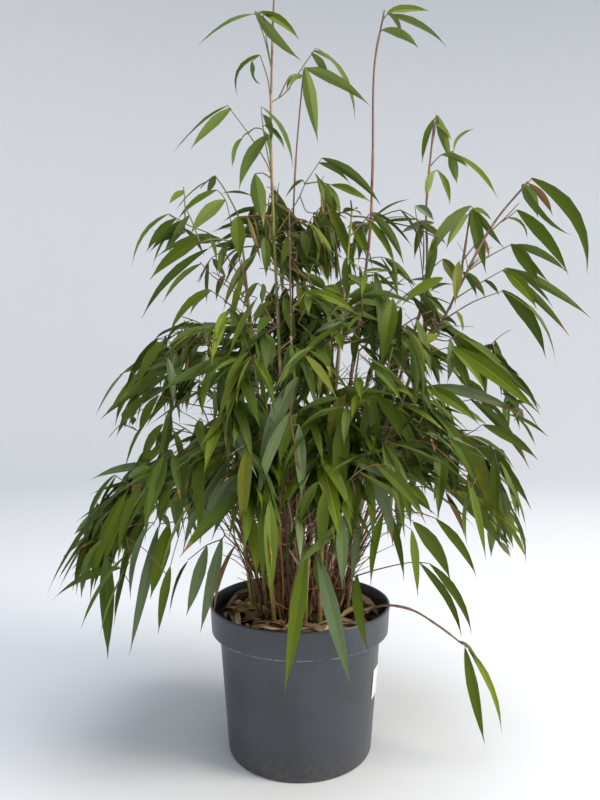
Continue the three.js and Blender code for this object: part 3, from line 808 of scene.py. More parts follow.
# One mass: each spray is joined by a twig to the nearest one nearer its culm, and has a fan of leaves that
# point outward and droop more the further out they are.
def growMass(node, line, look, leafBundle, twigRoutes, seed):
    draw, g = randomFor(seed), growth
    isInside = insideTest(node)

    def fromJoin(place):
        return abs(place.z - look["join"] * mm)

    culmPart = [place for place in line if fromJoin(place) < g["culmReach"] * mm] or [line[-1]]
    entry = min(culmPart, key=fromJoin)
    spots = sorted(spreadSprays(node, look, isInside, draw), key=lambda spot: (spot - entry).length)
    reach = max(((spot - entry).xy.length for spot in spots), default=mm)
    joins = [(place, 0) for place in culmPart]
    twigTone = draw.randrange(3)
    leafCount = 0
    for spot in spots:
        parent, depth = min(joins, key=lambda join: (join[0] - spot).length + g["joinCost"] * mm * join[1])
        twig = arch(parent, spot, g["twigRise"] * draw.uniform(*g["twigUnevenness"]), steps=4)
        thick = max(g["thinnest"], g["twigRadius"] * g["thinning"] ** depth) * mm
        radii = [thick * (1 - g["twigTaper"] * t / 4) for t in range(len(twig))]
        twigRoutes.append((list(zip(twig, radii)), twigTone))
        joins.append((spot, depth + 1))
        away = spot - entry
        outward = spot.xy.normalized() * g["outward"] + away.xy.normalized()
        outward = Vector((outward.x, outward.y, 0)).normalized()
        outward.rotate(Matrix.Rotation(math.radians(draw.gauss(0, g["stray"])), 3, "Z"))
        share = min(1, away.xy.length / reach)
        startPitch, endPitch = look["pitch"]
        pitch = startPitch + (endPitch - startPitch) * share ** 0.7 + draw.gauss(0, g["sway"] * 0.6)
        tone = draw.choices(greens, look["tones"])[0]
        before, twigLength = leafCount, (spot - parent).length
        for number in range(draw.randint(*g["leaves"])):
            start = pointOn(twig, max(0, 1 - number * g["leafStep"] * mm / twigLength))
            fan = g["fan"] * (g["firstFan"] + g["moreFan"] * number) * (1 if number % 2 else -1)
            turn = fan if number else 0
            length = draw.triangular(*look["lengths"])
            for _ in range(g["attempts"]):
                yaw = math.radians(turn + draw.gauss(0, g["sway"]))
                tilt = pitch - g["droop"] * draw.uniform(*g["droops"]) + draw.gauss(0, g["sway"] * 0.7)
                tilt = math.radians(min(g["pitches"][1], max(g["pitches"][0], tilt)))
                flat = outward.copy()
                flat.rotate(Matrix.Rotation(yaw, 3, "Z"))
                way = flat * math.cos(tilt) + up * math.sin(tilt)
                end = start + way * (length * mm)
                fits = isInside(end, look["margin"]) and end.z > g["clearFloor"] * mm
                if fits and not isInTheWay(start, end):
                    break
                length *= g["shortening"]
            else:
                continue
            facing = (up * g["facing"][0] + flat * g["facing"][1]).normalized()
            facing.rotate(Matrix.Rotation(draw.gauss(0, g["roll"]), 3, way))
            leafTone = tone if draw.random() < g["sameTone"] else draw.choices(greens, look["tones"])[0]
            width = length * draw.uniform(*g["slender"]) + g["leastWidth"]
            if draw.random() < look["dead"]:
                leafTone = draw.choice(("deadLeaf", "tanLeaf"))
                width *= g["curled"]
            addBowedLeaf(leafBundle, start, end, draw.uniform(*g["bow"]), width, facing, leafTone, draw)
            leafCount += 1
        if leafCount == before:  # no bare twig where no leaf found room
            twigRoutes.pop()
            joins.pop()
    return leafCount


sectorNames = ["left", "front_left", "front_right", "right", "back_right", "back_left"]
highNames = ["left", "front", "right", "back_right", "back_left"]
# Tiers of the crown: the culms of its masses, the height that they join at, the sprays in each, the pitch of
# its leaves near the culm and at the edge, their lengths (least, most, usual), how far they may leave the
# solid, how often each green comes, and the share of dry leaves.
# The high tier deals more yellow greens, as painted light through the top of the crown, and the lower tiers
# more deep greens, as painted shade.
tiers = {
    "low": {"culm": "culm_{}", "sectors": sectorNames, "join": 284, "sprays": 56, "pitch": (6, -54),
            "lengths": (44, 122, 78), "margin": 16, "tones": (6, 6, 5, 2, 0.5, 3, 1), "dead": 0.006},
    "middle": {"culm": "culm_{}", "sectors": sectorNames, "join": 412, "sprays": 52, "pitch": (10, -38),
               "lengths": (36, 100, 60), "margin": 15, "tones": (6, 6, 4, 1.5, 0.5, 2, 1), "dead": 0.01},
    "high": {"culm": "high_culm_{}", "sectors": highNames, "join": 544, "sprays": 20, "pitch": (14, -34),
             "lengths": (38, 92, 56), "margin": 6, "tones": (3, 4, 4, 3, 2, 2, 2), "dead": 0.03},
}
frontShare = 1.45  # the photograph's crown is denser in front than at its sides
# The inside of the crown, in deep greens as painted shade: each mass's culm, the height that it joins at, and
# its share of dry leaves, which show brown high up between the green ones.
hearts = {
    "heart_mass_low": ("culm_left", 300, 0.06), "heart_mass_middle": ("high_culm_front", 420, 0.08),
    "heart_mass_top": ("high_culm_left", 540, 0.22),
}
heartLook = {"sprays": 150, "pitch": (10, -52), "lengths": (26, 74, 44), "margin": 14,
             "tones": (9, 4, 1, 0.2, 0, 0.5, 0.5)}
twigTones = ["oliveTwig", "brownTwig", "purpleTwig"]


# Leaves and twigs, each kind as one piece, in place of the same solids.
def makeFoliage(name, leafBundle, twigRoutes, replaced):
    makePiece(name + "_leaves", leafBundle, toneNames, replaced)
    makePiece(name + "_twigs", tubes(twigRoutes), twigTones, replaced)


def makeMasses(name, masses, seed):
    bundle, twigRoutes = bmesh.new(), []
    for number, (node, (culm, look)) in enumerate(masses.items()):
        print(node, growMass(node, routes[culm], look, bundle, twigRoutes, seed + number), "leaves")
    makeFoliage(name, bundle, twigRoutes, list(masses))


def makeTiers():
    for number, (tier, look) in enumerate(tiers.items()):
        masses = {}
        for sector in look["sectors"]:
            count = round(look["sprays"] * (frontShare if "front" in sector else 1))
            masses[f"{tier}_mass_{sector}"] = look["culm"].format(sector), {**look, "sprays": count}
        makeMasses(tier, masses, 1000 + 100 * number)
    makeMasses("heart", {node: (culm, {**heartLook, "join": height, "dead": dry})
                         for node, (culm, height, dry) in hearts.items()}, 1500)


# Sprays given one by one, as the photograph shows them: the culm that one grows from, its depth behind the
# pot's axis in millimetres, its tone, its twigs and its leaves. Places are pixels. A leaf runs from its foot to
# its tip, and shows so many pixels of its width.
def sprayAt(culm, depth, tone, twigs, leaves):
    return {"culm": culm, "depth": depth, "tone": tone, "twigs": twigs, "leaves": leaves}


def leaf(footX, footY, tipX, tipY, shown, tone=None, bow=0.07, deeper=None):
    return {"foot": (footX, footY), "tip": (tipX, tipY), "shown": shown, "tone": tone, "bow": bow,
            "deeper": deeper}


# Those that stand clear of the crown.
sprays = {
    "top_left_spray": sprayAt("leader_culm", 2, "freshLeaf", [
        [(272, 67), (265, 40), (256, 14)], [(272, 67), (267, 42), (263, 13)],
    ], [
        leaf(253, 14, 197, 47, 4), leaf(255, 11, 302, 61, 12, "sunlitLeaf", bow=-0.05),
        leaf(262, 12, 300, 41, 10), leaf(258, 13, 283, 22, 7),
    ]),
    "curled_spray": sprayAt("leader_culm", 6, "midLeaf", [
        [(274, 106), (268, 80), (260, 55)],
    ], [
        leaf(260, 55, 238, 98, 5, bow=0.25), leaf(252, 61, 261, 84, 5, bow=-0.2),
    ]),
    "leader_right_spray": sprayAt("leader_culm", 34, "freshLeaf", [
        [(275, 113), (286, 92), (302, 68), (316, 48)], [(275, 113), (290, 76), (299, 75)],
    ], [
        leaf(316, 48, 355, 122, 4, bow=0.12), leaf(311, 53, 330, 86, 8), leaf(313, 51, 347, 78, 5, bow=0.1),
        leaf(301, 78, 287, 91, 5, bow=0.2),
    ]),
    "third_culm_spray": sprayAt("third_culm", 29, "freshLeaf", [
        [(304, 76), (304, 71), (305, 67)],
    ], [
        leaf(305, 68, 370, 106, 12, bow=0.06), leaf(305, 67, 318, 143, 15, "sunlitLeaf", bow=-0.02),
        leaf(306, 69, 352, 94, 9, bow=0.1), leaf(303, 76, 289, 93, 4, bow=0.15),
    ]),
    "leader_left_spray": sprayAt("leader_culm", 0, "midLeaf", [
        [(272, 176), (267, 164), (248, 133), (227, 105)], [(247, 131), (244, 135), (242, 139)],
        [(248, 130), (255, 128), (262, 129)],
    ], [
        leaf(227, 106, 172, 155, 4, bow=0.06), leaf(231, 108, 190, 150, 11, "sunlitLeaf", bow=0.04),
        leaf(262, 129, 270, 160, 5), leaf(242, 139, 232, 168, 4),
    ]),
    "leader_middle_spray": sprayAt("leader_culm", -8, "forestLeaf", [
        [(270, 168), (264, 135), (261, 107)], [(271, 176), (263, 173), (255, 174)],
        [(271, 143), (270, 137), (268, 134)],
    ], [
        leaf(262, 107, 293, 170, 5, bow=0.1), leaf(263, 115, 272, 142, 8),
        leaf(268, 135, 239, 191, 14, "oliveLeaf", bow=0.09), leaf(255, 174, 262, 222, 18, "midLeaf"),
        leaf(264, 125, 285, 150, 6),
    ]),
    "small_right_spray": sprayAt("leader_culm", 10, "midLeaf", [
        [(274, 238), (288, 216), (300, 196), (305, 184), (322, 158)], [(305, 184), (303, 180)],
        [(305, 184), (318, 182), (331, 185)], [(299, 198), (303, 204), (307, 212), (321, 214)],
    ], [
        leaf(322, 158, 382, 207, 10, bow=0.08), leaf(331, 185, 372, 203, 8, bow=0.05),
        leaf(303, 180, 284, 200, 6), leaf(319, 163, 352, 186, 7), leaf(326, 184, 340, 222, 8),
    ]),
    "second_culm_spray": sprayAt("second_culm", 20, "freshLeaf", [
        [(383, 24), (384, 18), (388, 14)], [(380, 33), (381, 31), (383, 30)],
    ], [
        leaf(387, 13, 430, 11, 7, bow=0.06), leaf(389, 15, 448, 48, 8, bow=0.08),
        leaf(382, 30, 419, 49, 9, bow=0.1), leaf(388, 14, 402, 36, 5),
    ]),
    "right_culm_spray": sprayAt("right_culm", 29, "freshLeaf", [
        [(433, 150), (435, 130), (436, 116)], [(431, 166), (441, 155), (453, 151)],
        [(430, 178), (434, 172), (438, 170)],
    ], [
        leaf(435, 118, 422, 164, 7), leaf(437, 115, 451, 162, 11, "sunlitLeaf"), leaf(449, 153, 457, 184, 10),
        leaf(453, 154, 498, 199, 5, bow=0.08), leaf(454, 151, 475, 129, 4, bow=0.2),
        leaf(441, 155, 468, 168, 5, bow=0.12), leaf(435, 171, 426, 199, 7), leaf(438, 171, 450, 206, 7),
        leaf(436, 124, 452, 142, 5),
    ]),
    "fork_spray": sprayAt("fork_bough", -22, "forestLeaf", [
        [(469, 230), (471, 217), (473, 208)], [(464, 262), (474, 246), (480, 236)],
    ], [
        leaf(471, 206, 424, 272, 13, bow=0.1, deeper=-24), leaf(472, 209, 486, 274, 14),
        leaf(473, 209, 493, 222, 8, "midLeaf"), leaf(474, 210, 505, 249, 8, bow=-0.03),
        leaf(469, 214, 446, 250, 9, "freshLeaf"), leaf(471, 216, 475, 254, 9, "silverLeaf"),
        leaf(479, 237, 489, 258, 5, "deadLeaf"), leaf(463, 272, 486, 299, 8, "silverLeaf"),
        leaf(463, 274, 477, 299, 6), leaf(459, 262, 455, 306, 11, "oliveLeaf"),
    ]),
    "arching_spray": sprayAt("arching_culm", -32, "midLeaf", [
        [(508, 208), (520, 192), (532, 178)], [(489, 236), (505, 218), (519, 203)],
        [(500, 221), (509, 217), (517, 210)],
    ], [
        leaf(531, 178, 587, 275, 14, bow=0.16, deeper=-6), leaf(522, 184, 538, 218, 14, "oliveLeaf"),
        leaf(527, 183, 553, 216, 6, "deadLeaf", deeper=8),
        leaf(525, 187, 574, 236, 6, "oliveLeaf", bow=-0.13, deeper=6), leaf(517, 210, 569, 276, 14, bow=0.06),
        leaf(508, 218, 527, 241, 4, bow=0.2),
    ]),
    "arching_middle_spray": sprayAt("arching_culm", -18, "midLeaf", [
        [(462, 273), (488, 257), (512, 244)], [(458, 301), (482, 282), (505, 269)],
    ], [
        leaf(511, 244, 540, 289, 14, bow=0.06), leaf(513, 245, 568, 273, 9, bow=0.07),
        leaf(513, 246, 550, 283, 4, "forestLeaf", bow=-0.02), leaf(505, 268, 554, 309, 7),
        leaf(505, 268, 592, 319, 10, bow=0.05), leaf(504, 270, 537, 310, 14, "sunlitLeaf"),
        leaf(503, 271, 571, 338, 8, bow=0.04, deeper=6), leaf(484, 281, 500, 297, 5),
    ]),
    "arching_lower_spray": sprayAt("arching_culm", -40, "forestLeaf", [
        [(445, 317), (473, 302), (503, 291)], [(440, 346), (448, 341), (457, 334)],
    ], [
        leaf(502, 290, 546, 359, 15, bow=0.1), leaf(503, 291, 556, 366, 5, bow=0.14),
        leaf(457, 334, 516, 380, 6, bow=0.04), leaf(456, 335, 510, 393, 15, "freshLeaf", bow=0.08),
        leaf(445, 320, 458, 328, 5, bow=0.1), leaf(456, 312, 463, 333, 5, "oliveLeaf"),
        leaf(452, 337, 482, 388, 12, bow=0.1), leaf(450, 339, 447, 384, 10, "silverLeaf"),
    ]),
    "lowest_spray": sprayAt("lowest_culm", -51, "freshLeaf", [
        [(458, 640), (463, 644), (468, 648)],
    ], [
        leaf(465, 648, 485, 746, 13, bow=0.04), leaf(468, 649, 502, 734, 8, "sunlitLeaf", bow=0.07),
        leaf(460, 641, 482, 668, 4),
    ]),
    "front_hanging_spray": sprayAt("front_culm", -112, "silverLeaf", [
        [(312, 545), (309, 547), (306, 550)], [(312, 545), (315, 549), (318, 553)],
        [(315, 549), (335, 555), (357, 573)],
    ], [
        leaf(306, 550, 284, 695, 18, "freshLeaf", bow=0.05, deeper=4),
        leaf(318, 554, 351, 687, 18, bow=0.1, deeper=10), leaf(318, 552, 326, 604, 11, "midLeaf"),
        leaf(357, 574, 369, 654, 12, "freshLeaf"),
    ]),
}

# The tip of the leader, above the photograph's edge: three open leaves, each with its tip and width in
# millimetres, and a rolled young one that stands up from the leader's end.
leaderTip = {
    "tone": "sunlitLeaf", "leaves": [((-68, 4, 818), 12), ((8, 24, 824), 12), ((-44, -20, 800), 11)],
    "bow": 0.1, "facing": Vector((0, -0.5, 1)),
    "rolledWay": Vector((3, 0, 22)), "rolledBow": 0.02, "rolledWidth": 4, "rolledFold": 0.8,
}

# What the placed twigs and leaves have in common: the spacing of a twig's places and its radius at the foot,
# with how much it thins, a stalk's radii, how far a leaf's tip may lie deeper than its foot, the share of the
# shown width that is blade, and the real widths that a narrow leaf is turned from.
placedLook = {
    "spacing": 7, "twigRadius": 0.8, "twigThinning": 0.35, "stalk": (0.45, 0.4), "deeper": (-16, 10),
    "bladeShown": 0.93, "widths": (9.5, 12), "mostDownward": -0.25, "fold": 0.3,
}


# Where a leaf's foot isn't on a twig, a short stalk joins it to the nearest place of one.
def addShownLeaf(bundle, item, spray, twigPlaces, twigRoutes, draw):
    look, depth = placedLook, spray["depth"]
    start = seen(*item["foot"], depth)
    joint = nearestOn(twigPlaces, start)
    if (joint - start).length > mm:
        twigRoutes.append(([(joint, look["stalk"][0] * mm), (start, look["stalk"][1] * mm)], 0))
    deeper = item["deeper"] if item["deeper"] is not None else draw.uniform(*look["deeper"])
    end = seen(*item["tip"], depth + deeper)
    shown = look["bladeShown"] * item["shown"] * (depth - photo["eye"].y / mm) / photo["focal"]
    width = max(shown, draw.uniform(*look["widths"]))
    facing = (photo["eye"] - (start + end) / 2).normalized()
    turn = math.acos(min(1, shown / width)) * draw.choice((-1, 1))
    facing.rotate(Matrix.Rotation(turn, 3, (end - start).normalized()))
    if facing.z < look["mostDownward"]:
        facing.negate()
    bend = bendOf(start, end, item["bow"], facing)
    markShown(start, bend, end, width, facing)
    addLeaf(bundle, start, bend, end, width, facing, item["tone"] or spray["tone"], draw, look["fold"])


# A twig starts on its culm, or on an earlier twig of its spray, at the place nearest to its first pixel.
def growSpray(spray, bundle, twigRoutes, draw):
    look, line, twigPlaces, depth = placedLook, routes[spray["culm"]], [], spray["depth"]
    for twig in spray["twigs"]:
        start = nearestOn([*line, *twigPlaces], seen(*twig[0], depth))
        places = smoothLine([start, *(seen(*pixel, depth) for pixel in twig[1:])], look["spacing"])
        thin = look["twigThinning"] * mm
        radii = [look["twigRadius"] * mm - thin * t / len(places) for t in range(len(places))]
        twigRoutes.append((list(zip(places, radii)), 1 if spray["culm"] != "leader_culm" else 0))
        twigPlaces.extend(places)
    for item in spray["leaves"]:
        addShownLeaf(bundle, item, spray, twigPlaces, twigRoutes, draw)


def makeSprays():
    draw, tip, top = randomFor(2024), leaderTip, routes["leader_culm"][-1]
    bundle, twigRoutes = bmesh.new(), []
    for spray in sprays.values():
        growSpray(spray, bundle, twigRoutes, draw)
    for end, width in tip["leaves"]:
        addBowedLeaf(bundle, top, Vector(end) * mm, tip["bow"], width, tip["facing"], tip["tone"], draw)
    addBowedLeaf(bundle, top, top + tip["rolledWay"] * mm, tip["rolledBow"], tip["rolledWidth"],
                 Vector((0, -1, 0)), tip["tone"], draw, tip["rolledFold"])
    makeFoliage("spray", bundle, twigRoutes, [*sprays, "top_spray"])


# The crown's edge, and the largest leaves in front: sprays that stand out of the masses.
edgeSprays = {
    "upperLeft": sprayAt("high_culm_left", -14, "midLeaf", [
        [(250, 300), (240, 262), (231, 222), (225, 199), (217, 190)],
        [(245, 290), (228, 258), (213, 236), (190, 226), (169, 214)],
        [(250, 310), (232, 290), (214, 277), (200, 262)], [(253, 335), (228, 303), (208, 289)],
        [(247, 275), (252, 262), (256, 253)],
    ], [
        leaf(217, 190, 176, 222, 8), leaf(225, 200, 190, 235, 15, "sunlitLeaf"),
        leaf(169, 214, 132, 268, 4, "forestLeaf", bow=0.12), leaf(176, 219, 146, 253, 9),
        leaf(213, 235, 155, 258, 7), leaf(203, 238, 149, 281, 14),
        leaf(208, 249, 141, 320, 9, "deepLeaf", bow=0.08), leaf(201, 264, 162, 304, 6, "deepLeaf"),
        leaf(207, 235, 217, 263, 5, "freshLeaf"), leaf(229, 242, 219, 277, 8, "forestLeaf"),
        leaf(256, 254, 223, 312, 10, "freshLeaf"), leaf(237, 217, 240, 261, 17),
        leaf(264, 237, 266, 278, 11, "forestLeaf"), leaf(208, 289, 169, 334, 9),
        leaf(211, 290, 189, 317, 8, "freshLeaf"), leaf(225, 275, 216, 302, 8, "forestLeaf"),
    ]),
    "besideLeader": sprayAt("leader_culm", -12, "forestLeaf", [
        [(275, 303), (268, 293), (258, 283)], [(275, 303), (285, 295), (297, 283), (314, 298)],
        [(273, 240), (269, 226), (265, 213)], [(280, 372), (290, 350), (300, 346)],
    ], [
        leaf(272, 302, 252, 324, 10), leaf(258, 283, 243, 311, 7, "deepLeaf"), leaf(284, 297, 296, 342, 12),
        leaf(297, 284, 303, 320, 9, "oliveLeaf"), leaf(300, 346, 322, 313, 9, "deepLeaf", bow=0.02),
        leaf(262, 284, 262, 306, 8, "midLeaf"), leaf(296, 232, 281, 268, 12, "midLeaf"),
        leaf(303, 231, 307, 262, 11),
    ]),
    "middleLeft": sprayAt("culm_left", -22, "forestLeaf", [
        [(215, 374), (206, 341), (190, 319)], [(213, 362), (188, 348), (164, 340), (158, 338)],
        [(215, 390), (192, 378), (167, 371), (158, 378)], [(224, 440), (196, 434), (172, 428), (163, 424)],
        [(220, 410), (190, 404), (160, 396), (148, 395)],
    ], [
        leaf(190, 321, 165, 342, 4), leaf(158, 338, 124, 394, 10), leaf(164, 341, 137, 388, 11),
        leaf(158, 378, 100, 420, 10, "midLeaf", bow=0.04), leaf(167, 371, 118, 402, 8),
        leaf(148, 395, 116, 438, 9), leaf(159, 396, 139, 435, 9, "midLeaf"), leaf(163, 424, 142, 466, 10),
        leaf(168, 429, 155, 452, 8), leaf(173, 430, 182, 471, 7), leaf(199, 344, 187, 378, 9, "silverLeaf"),
        leaf(207, 353, 202, 380, 9, "silverLeaf"), leaf(186, 352, 186, 378, 5, "deadLeaf"),
        leaf(214, 389, 212, 427, 9, "silverLeaf"),
    ]),
    "lowLeft": sprayAt("culm_left", -84, "silverLeaf", [
        [(236, 484), (190, 478), (150, 486), (129, 484), (115, 475)],
        [(240, 500), (205, 508), (180, 520), (160, 524)], [(236, 480), (236, 464), (231, 450)],
        [(240, 520), (225, 535), (207, 545), (188, 560)], [(180, 478), (165, 472), (151, 467)],
    ], [
        leaf(115, 475, 86, 528, 5, "deepLeaf"), leaf(116, 476, 97, 517, 3, "deepLeaf"),
        leaf(125, 485, 46, 598, 8, bow=0.07), leaf(127, 492, 90, 602, 13, "freshLeaf"),
        leaf(133, 495, 103, 577, 12, "sunlitLeaf"), leaf(151, 467, 127, 481, 9),
        leaf(156, 505, 118, 591, 10, "forestLeaf"), leaf(158, 527, 129, 657, 13, "silverLeaf"),
        leaf(169, 524, 150, 600, 18, "freshLeaf"), leaf(172, 486, 156, 520, 10, "midLeaf"),
        leaf(231, 450, 160, 518, 15, "sunlitLeaf", bow=0.05), leaf(234, 454, 182, 556, 14),
        leaf(239, 472, 199, 544, 14), leaf(240, 478, 237, 548, 4), leaf(207, 546, 186, 617, 14),
        leaf(222, 538, 200, 634, 14), leaf(188, 561, 169, 618, 5, "deepLeaf"),
        leaf(236, 545, 214, 617, 6, "deadLeaf"), leaf(140, 486, 118, 560, 9, "midLeaf"),
    ]),
    "front": sprayAt("front_culm", -146, "silverLeaf", [
        [(311, 549), (300, 470), (290, 410), (298, 378)], [(310, 560), (322, 520), (324, 490)],
        [(308, 580), (285, 545), (262, 524), (253, 519)],
    ], [
        leaf(297, 377, 258, 470, 18, bow=0.04), leaf(290, 412, 257, 511, 13),
        leaf(297, 414, 280, 468, 14, "midLeaf"), leaf(299, 425, 302, 502, 14, bow=-0.03),
        leaf(324, 491, 321, 556, 15, "midLeaf"), leaf(318, 482, 300, 527, 12, "forestLeaf"),
        leaf(253, 519, 257, 577, 13, "freshLeaf"),
    ]),
    "rightOfMiddle": sprayAt("culm_front_right", -60, "forestLeaf", [
        [(330, 345), (372, 335), (388, 312), (393, 298)], [(330, 345), (360, 325), (371, 318)],
        [(384, 318), (400, 300), (420, 285), (443, 278)],
    ], [
        leaf(393, 299, 381, 369, 18, "midLeaf"), leaf(401, 307, 403, 362, 10),
        leaf(443, 278, 401, 306, 12, "freshLeaf"), leaf(333, 330, 343, 352, 10, "freshLeaf"),
        leaf(360, 326, 355, 367, 8), leaf(371, 319, 377, 358, 9, "deepLeaf"),
    ]),
    "upperRight": sprayAt("high_culm_right", -22, "forestLeaf", [
        [(349, 240), (360, 226), (371, 212)], [(342, 300), (335, 240), (326, 201)],
        [(349, 245), (350, 232), (352, 224)],
    ], [
        leaf(371, 213, 404, 265, 10, "deepLeaf"), leaf(372, 212, 413, 249, 4, "midLeaf"),
        leaf(366, 219, 396, 269, 9, "freshLeaf"), leaf(352, 225, 366, 257, 11, "freshLeaf"),
        leaf(326, 201, 357, 280, 13, "midLeaf", bow=0.04),
    ]),
    "besideRight": sprayAt("right_culm", 14, "silverLeaf", [
        [(424, 290), (419, 240), (415, 206)], [(424, 280), (432, 268), (443, 259)],
    ], [
        leaf(416, 206, 434, 221, 9), leaf(434, 223, 399, 234, 8), leaf(419, 224, 447, 246, 8),
        leaf(443, 259, 457, 290, 12, "oliveLeaf"),
    ]),
    "middle": sprayAt("culm_front_right", -104, "forestLeaf", [
        [(328, 420), (338, 405), (346, 394)], [(328, 440), (350, 415), (366, 401), (377, 394)],
        [(327, 500), (350, 485), (368, 471)],
    ], [
        leaf(345, 395, 329, 446, 15, "oliveLeaf"), leaf(341, 399, 293, 416, 7, "silverLeaf"),
        leaf(372, 397, 378, 460, 13), leaf(377, 394, 402, 441, 12, "midLeaf"),
        leaf(366, 401, 354, 454, 10, "deepLeaf"), leaf(368, 471, 393, 548, 15, "silverLeaf"),
        leaf(365, 474, 372, 540, 11, "midLeaf"), leaf(379, 396, 423, 472, 14, "midLeaf"),
    ]),
    "lowRight": sprayAt("culm_right", -66, "forestLeaf", [
        [(367, 475), (400, 450), (430, 432), (453, 425)], [(425, 434), (445, 437), (468, 434), (483, 424)],
        [(366, 490), (400, 482), (430, 488), (453, 493)], [(365, 500), (390, 506), (413, 521)],
        [(395, 507), (420, 513), (437, 519)],
    ], [
        leaf(483, 425, 539, 461, 12), leaf(470, 436, 516, 472, 4, "deepLeaf", bow=0.1),
        leaf(453, 426, 503, 538, 20, "oliveLeaf", bow=0.05), leaf(467, 436, 532, 511, 14),
        leaf(452, 493, 505, 553, 13), leaf(413, 522, 451, 582, 17, "midLeaf"),
        leaf(436, 519, 477, 578, 11, "midLeaf"), leaf(396, 457, 428, 488, 13),
        leaf(402, 482, 432, 514, 12, "freshLeaf"), leaf(386, 506, 404, 582, 10, "midLeaf"),
        leaf(446, 492, 464, 536, 6, "deadLeaf"), leaf(431, 433, 435, 453, 7, "tanLeaf"),
        leaf(412, 443, 408, 461, 6, "tanLeaf"), leaf(449, 490, 529, 543, 10, "oliveLeaf"),
    ]),
    "hangingRight": sprayAt("culm_right", -20, "midLeaf", [
        [(351, 580), (372, 571), (396, 565), (416, 562), (431, 564)],
    ], [
        leaf(420, 563, 462, 639, 9, bow=0.09), leaf(430, 564, 472, 635, 10, bow=0.09),
    ]),
    "right": sprayAt("culm_right", -40, "midLeaf", [
        [(393, 345), (425, 352), (454, 346)], [(390, 360), (412, 378), (426, 386)],
        [(386, 380), (420, 398), (455, 402), (478, 398)],
    ], [
        leaf(454, 347, 541, 415, 17, "sunlitLeaf", bow=0.03), leaf(454, 346, 542, 409, 5, bow=0.06),
        leaf(448, 350, 471, 398, 12), leaf(452, 349, 486, 394, 9, "freshLeaf"),
        leaf(426, 387, 480, 426, 15, "freshLeaf"), leaf(430, 386, 526, 419, 13, "silverLeaf"),
        leaf(478, 398, 511, 430, 5), leaf(470, 399, 530, 470, 10, "forestLeaf"),
    ]),
}


def makeEdgeSprays():
    draw = randomFor(2025)
    bundle, twigRoutes = bmesh.new(), []
    for spray in edgeSprays.values():
        growSpray(spray, bundle, twigRoutes, draw)
    makeFoliage("edge", bundle, twigRoutes, [node for node in cadNodes if "_mass_" in node])


# The placed sprays come first, because the crown keeps clear of their leaves.
makeSprays()
makeEdgeSprays()
makeTiers()


# Compost with crumbs of bark, and the dry sheaths and leaves that have fallen on it. Millimetres, and a leaf's
# bow and fold as shares of its length and width.
compostLook = {
    "radius": 90.2, "rings": 24, "steps": 96, "gap": 0.4, "unevenness": 2.2, "bumps": (14, 5), "crumbs": 1500,
    "crumbSizes": (0.8, 1.2, 1.7, 2.4),
}
litter = {
    "count": 230, "fromRim": 8, "tipFromRim": 4, "length": (22, 62), "footRise": (1, 4), "tipRise": (1.5, 11),
    "bow": (0.02, 0.16), "width": (5, 13), "fold": (0.2, 0.9), "sway": 0.4,
    "tones": ("strawSheath", "bleachedSheath", "brownSheath", "tanLeaf", "strawSheath", "brownSheath"),
    "stemTones": ("strawSheath", "bleachedSheath", "brownSheath", "strawSheath"),
}


def compostHeight(x, y):
    wide, fine = (size * mm for size in compostLook["bumps"])
    bumps = noise.noise(Vector((x, y, 0)) / wide) + 0.5 * noise.noise(Vector((x, y, 3)) / fine)
    return (compostTop + compostLook["unevenness"] * bumps) * mm


def makeCompost():
    look, p = compostLook, pot
    ledge, gap, rim = potLedge + p["wall"], look["gap"], look["radius"]
    outline = [(0, p["floor"] + gap), (p["footRadius"] - p["wall"] - gap, p["floor"] + gap),
               (p["shoulderRadius"] - p["wall"] - gap, ledge - 0.6), (rim - gap, ledge + gap),
               *[(rim * (1 - ring / look["rings"]), compostTop) for ring in range(look["rings"] + 1)]]
    shape = turned(outline, look["steps"])
    for corner in shape.verts:
        if corner.co.z > (compostTop - 1) * mm:
            corner.co.z = compostHeight(corner.co.x, corner.co.y)
    makePiece("compost_fill", shape, ["compost"], ["compost"])
    draw = randomFor(77)
    crumbs = bmesh.new()
    for _ in range(look["crumbs"]):
        angle, radius = draw.uniform(0, math.tau), (rim - 3) * math.sqrt(draw.random()) * mm
        place = Vector((radius * math.cos(angle), radius * math.sin(angle), 0))
        place.z = compostHeight(place.x, place.y) + draw.uniform(0, 1) * mm
        turn = Matrix.Rotation(draw.uniform(0, math.tau), 4, Vector((draw.random(), draw.random(), 1)))
        size = draw.choice(look["crumbSizes"])
        stretch = Matrix.Diagonal((draw.uniform(0.8, 2), draw.uniform(0.6, 1), draw.uniform(0.4, 0.8), 1))
        made = bmesh.ops.create_icosphere(crumbs, subdivisions=1, radius=size * mm,
                                          matrix=Matrix.Translation(place) @ turn @ stretch)
        tone = draw.choice((0, 0, 1))
        for face in {face for corner in made["verts"] for face in corner.link_faces}:
            face.material_index = tone
    makePiece("compost_crumbs", crumbs, ["darkCrumb", "barkCrumb"], smooth=False)


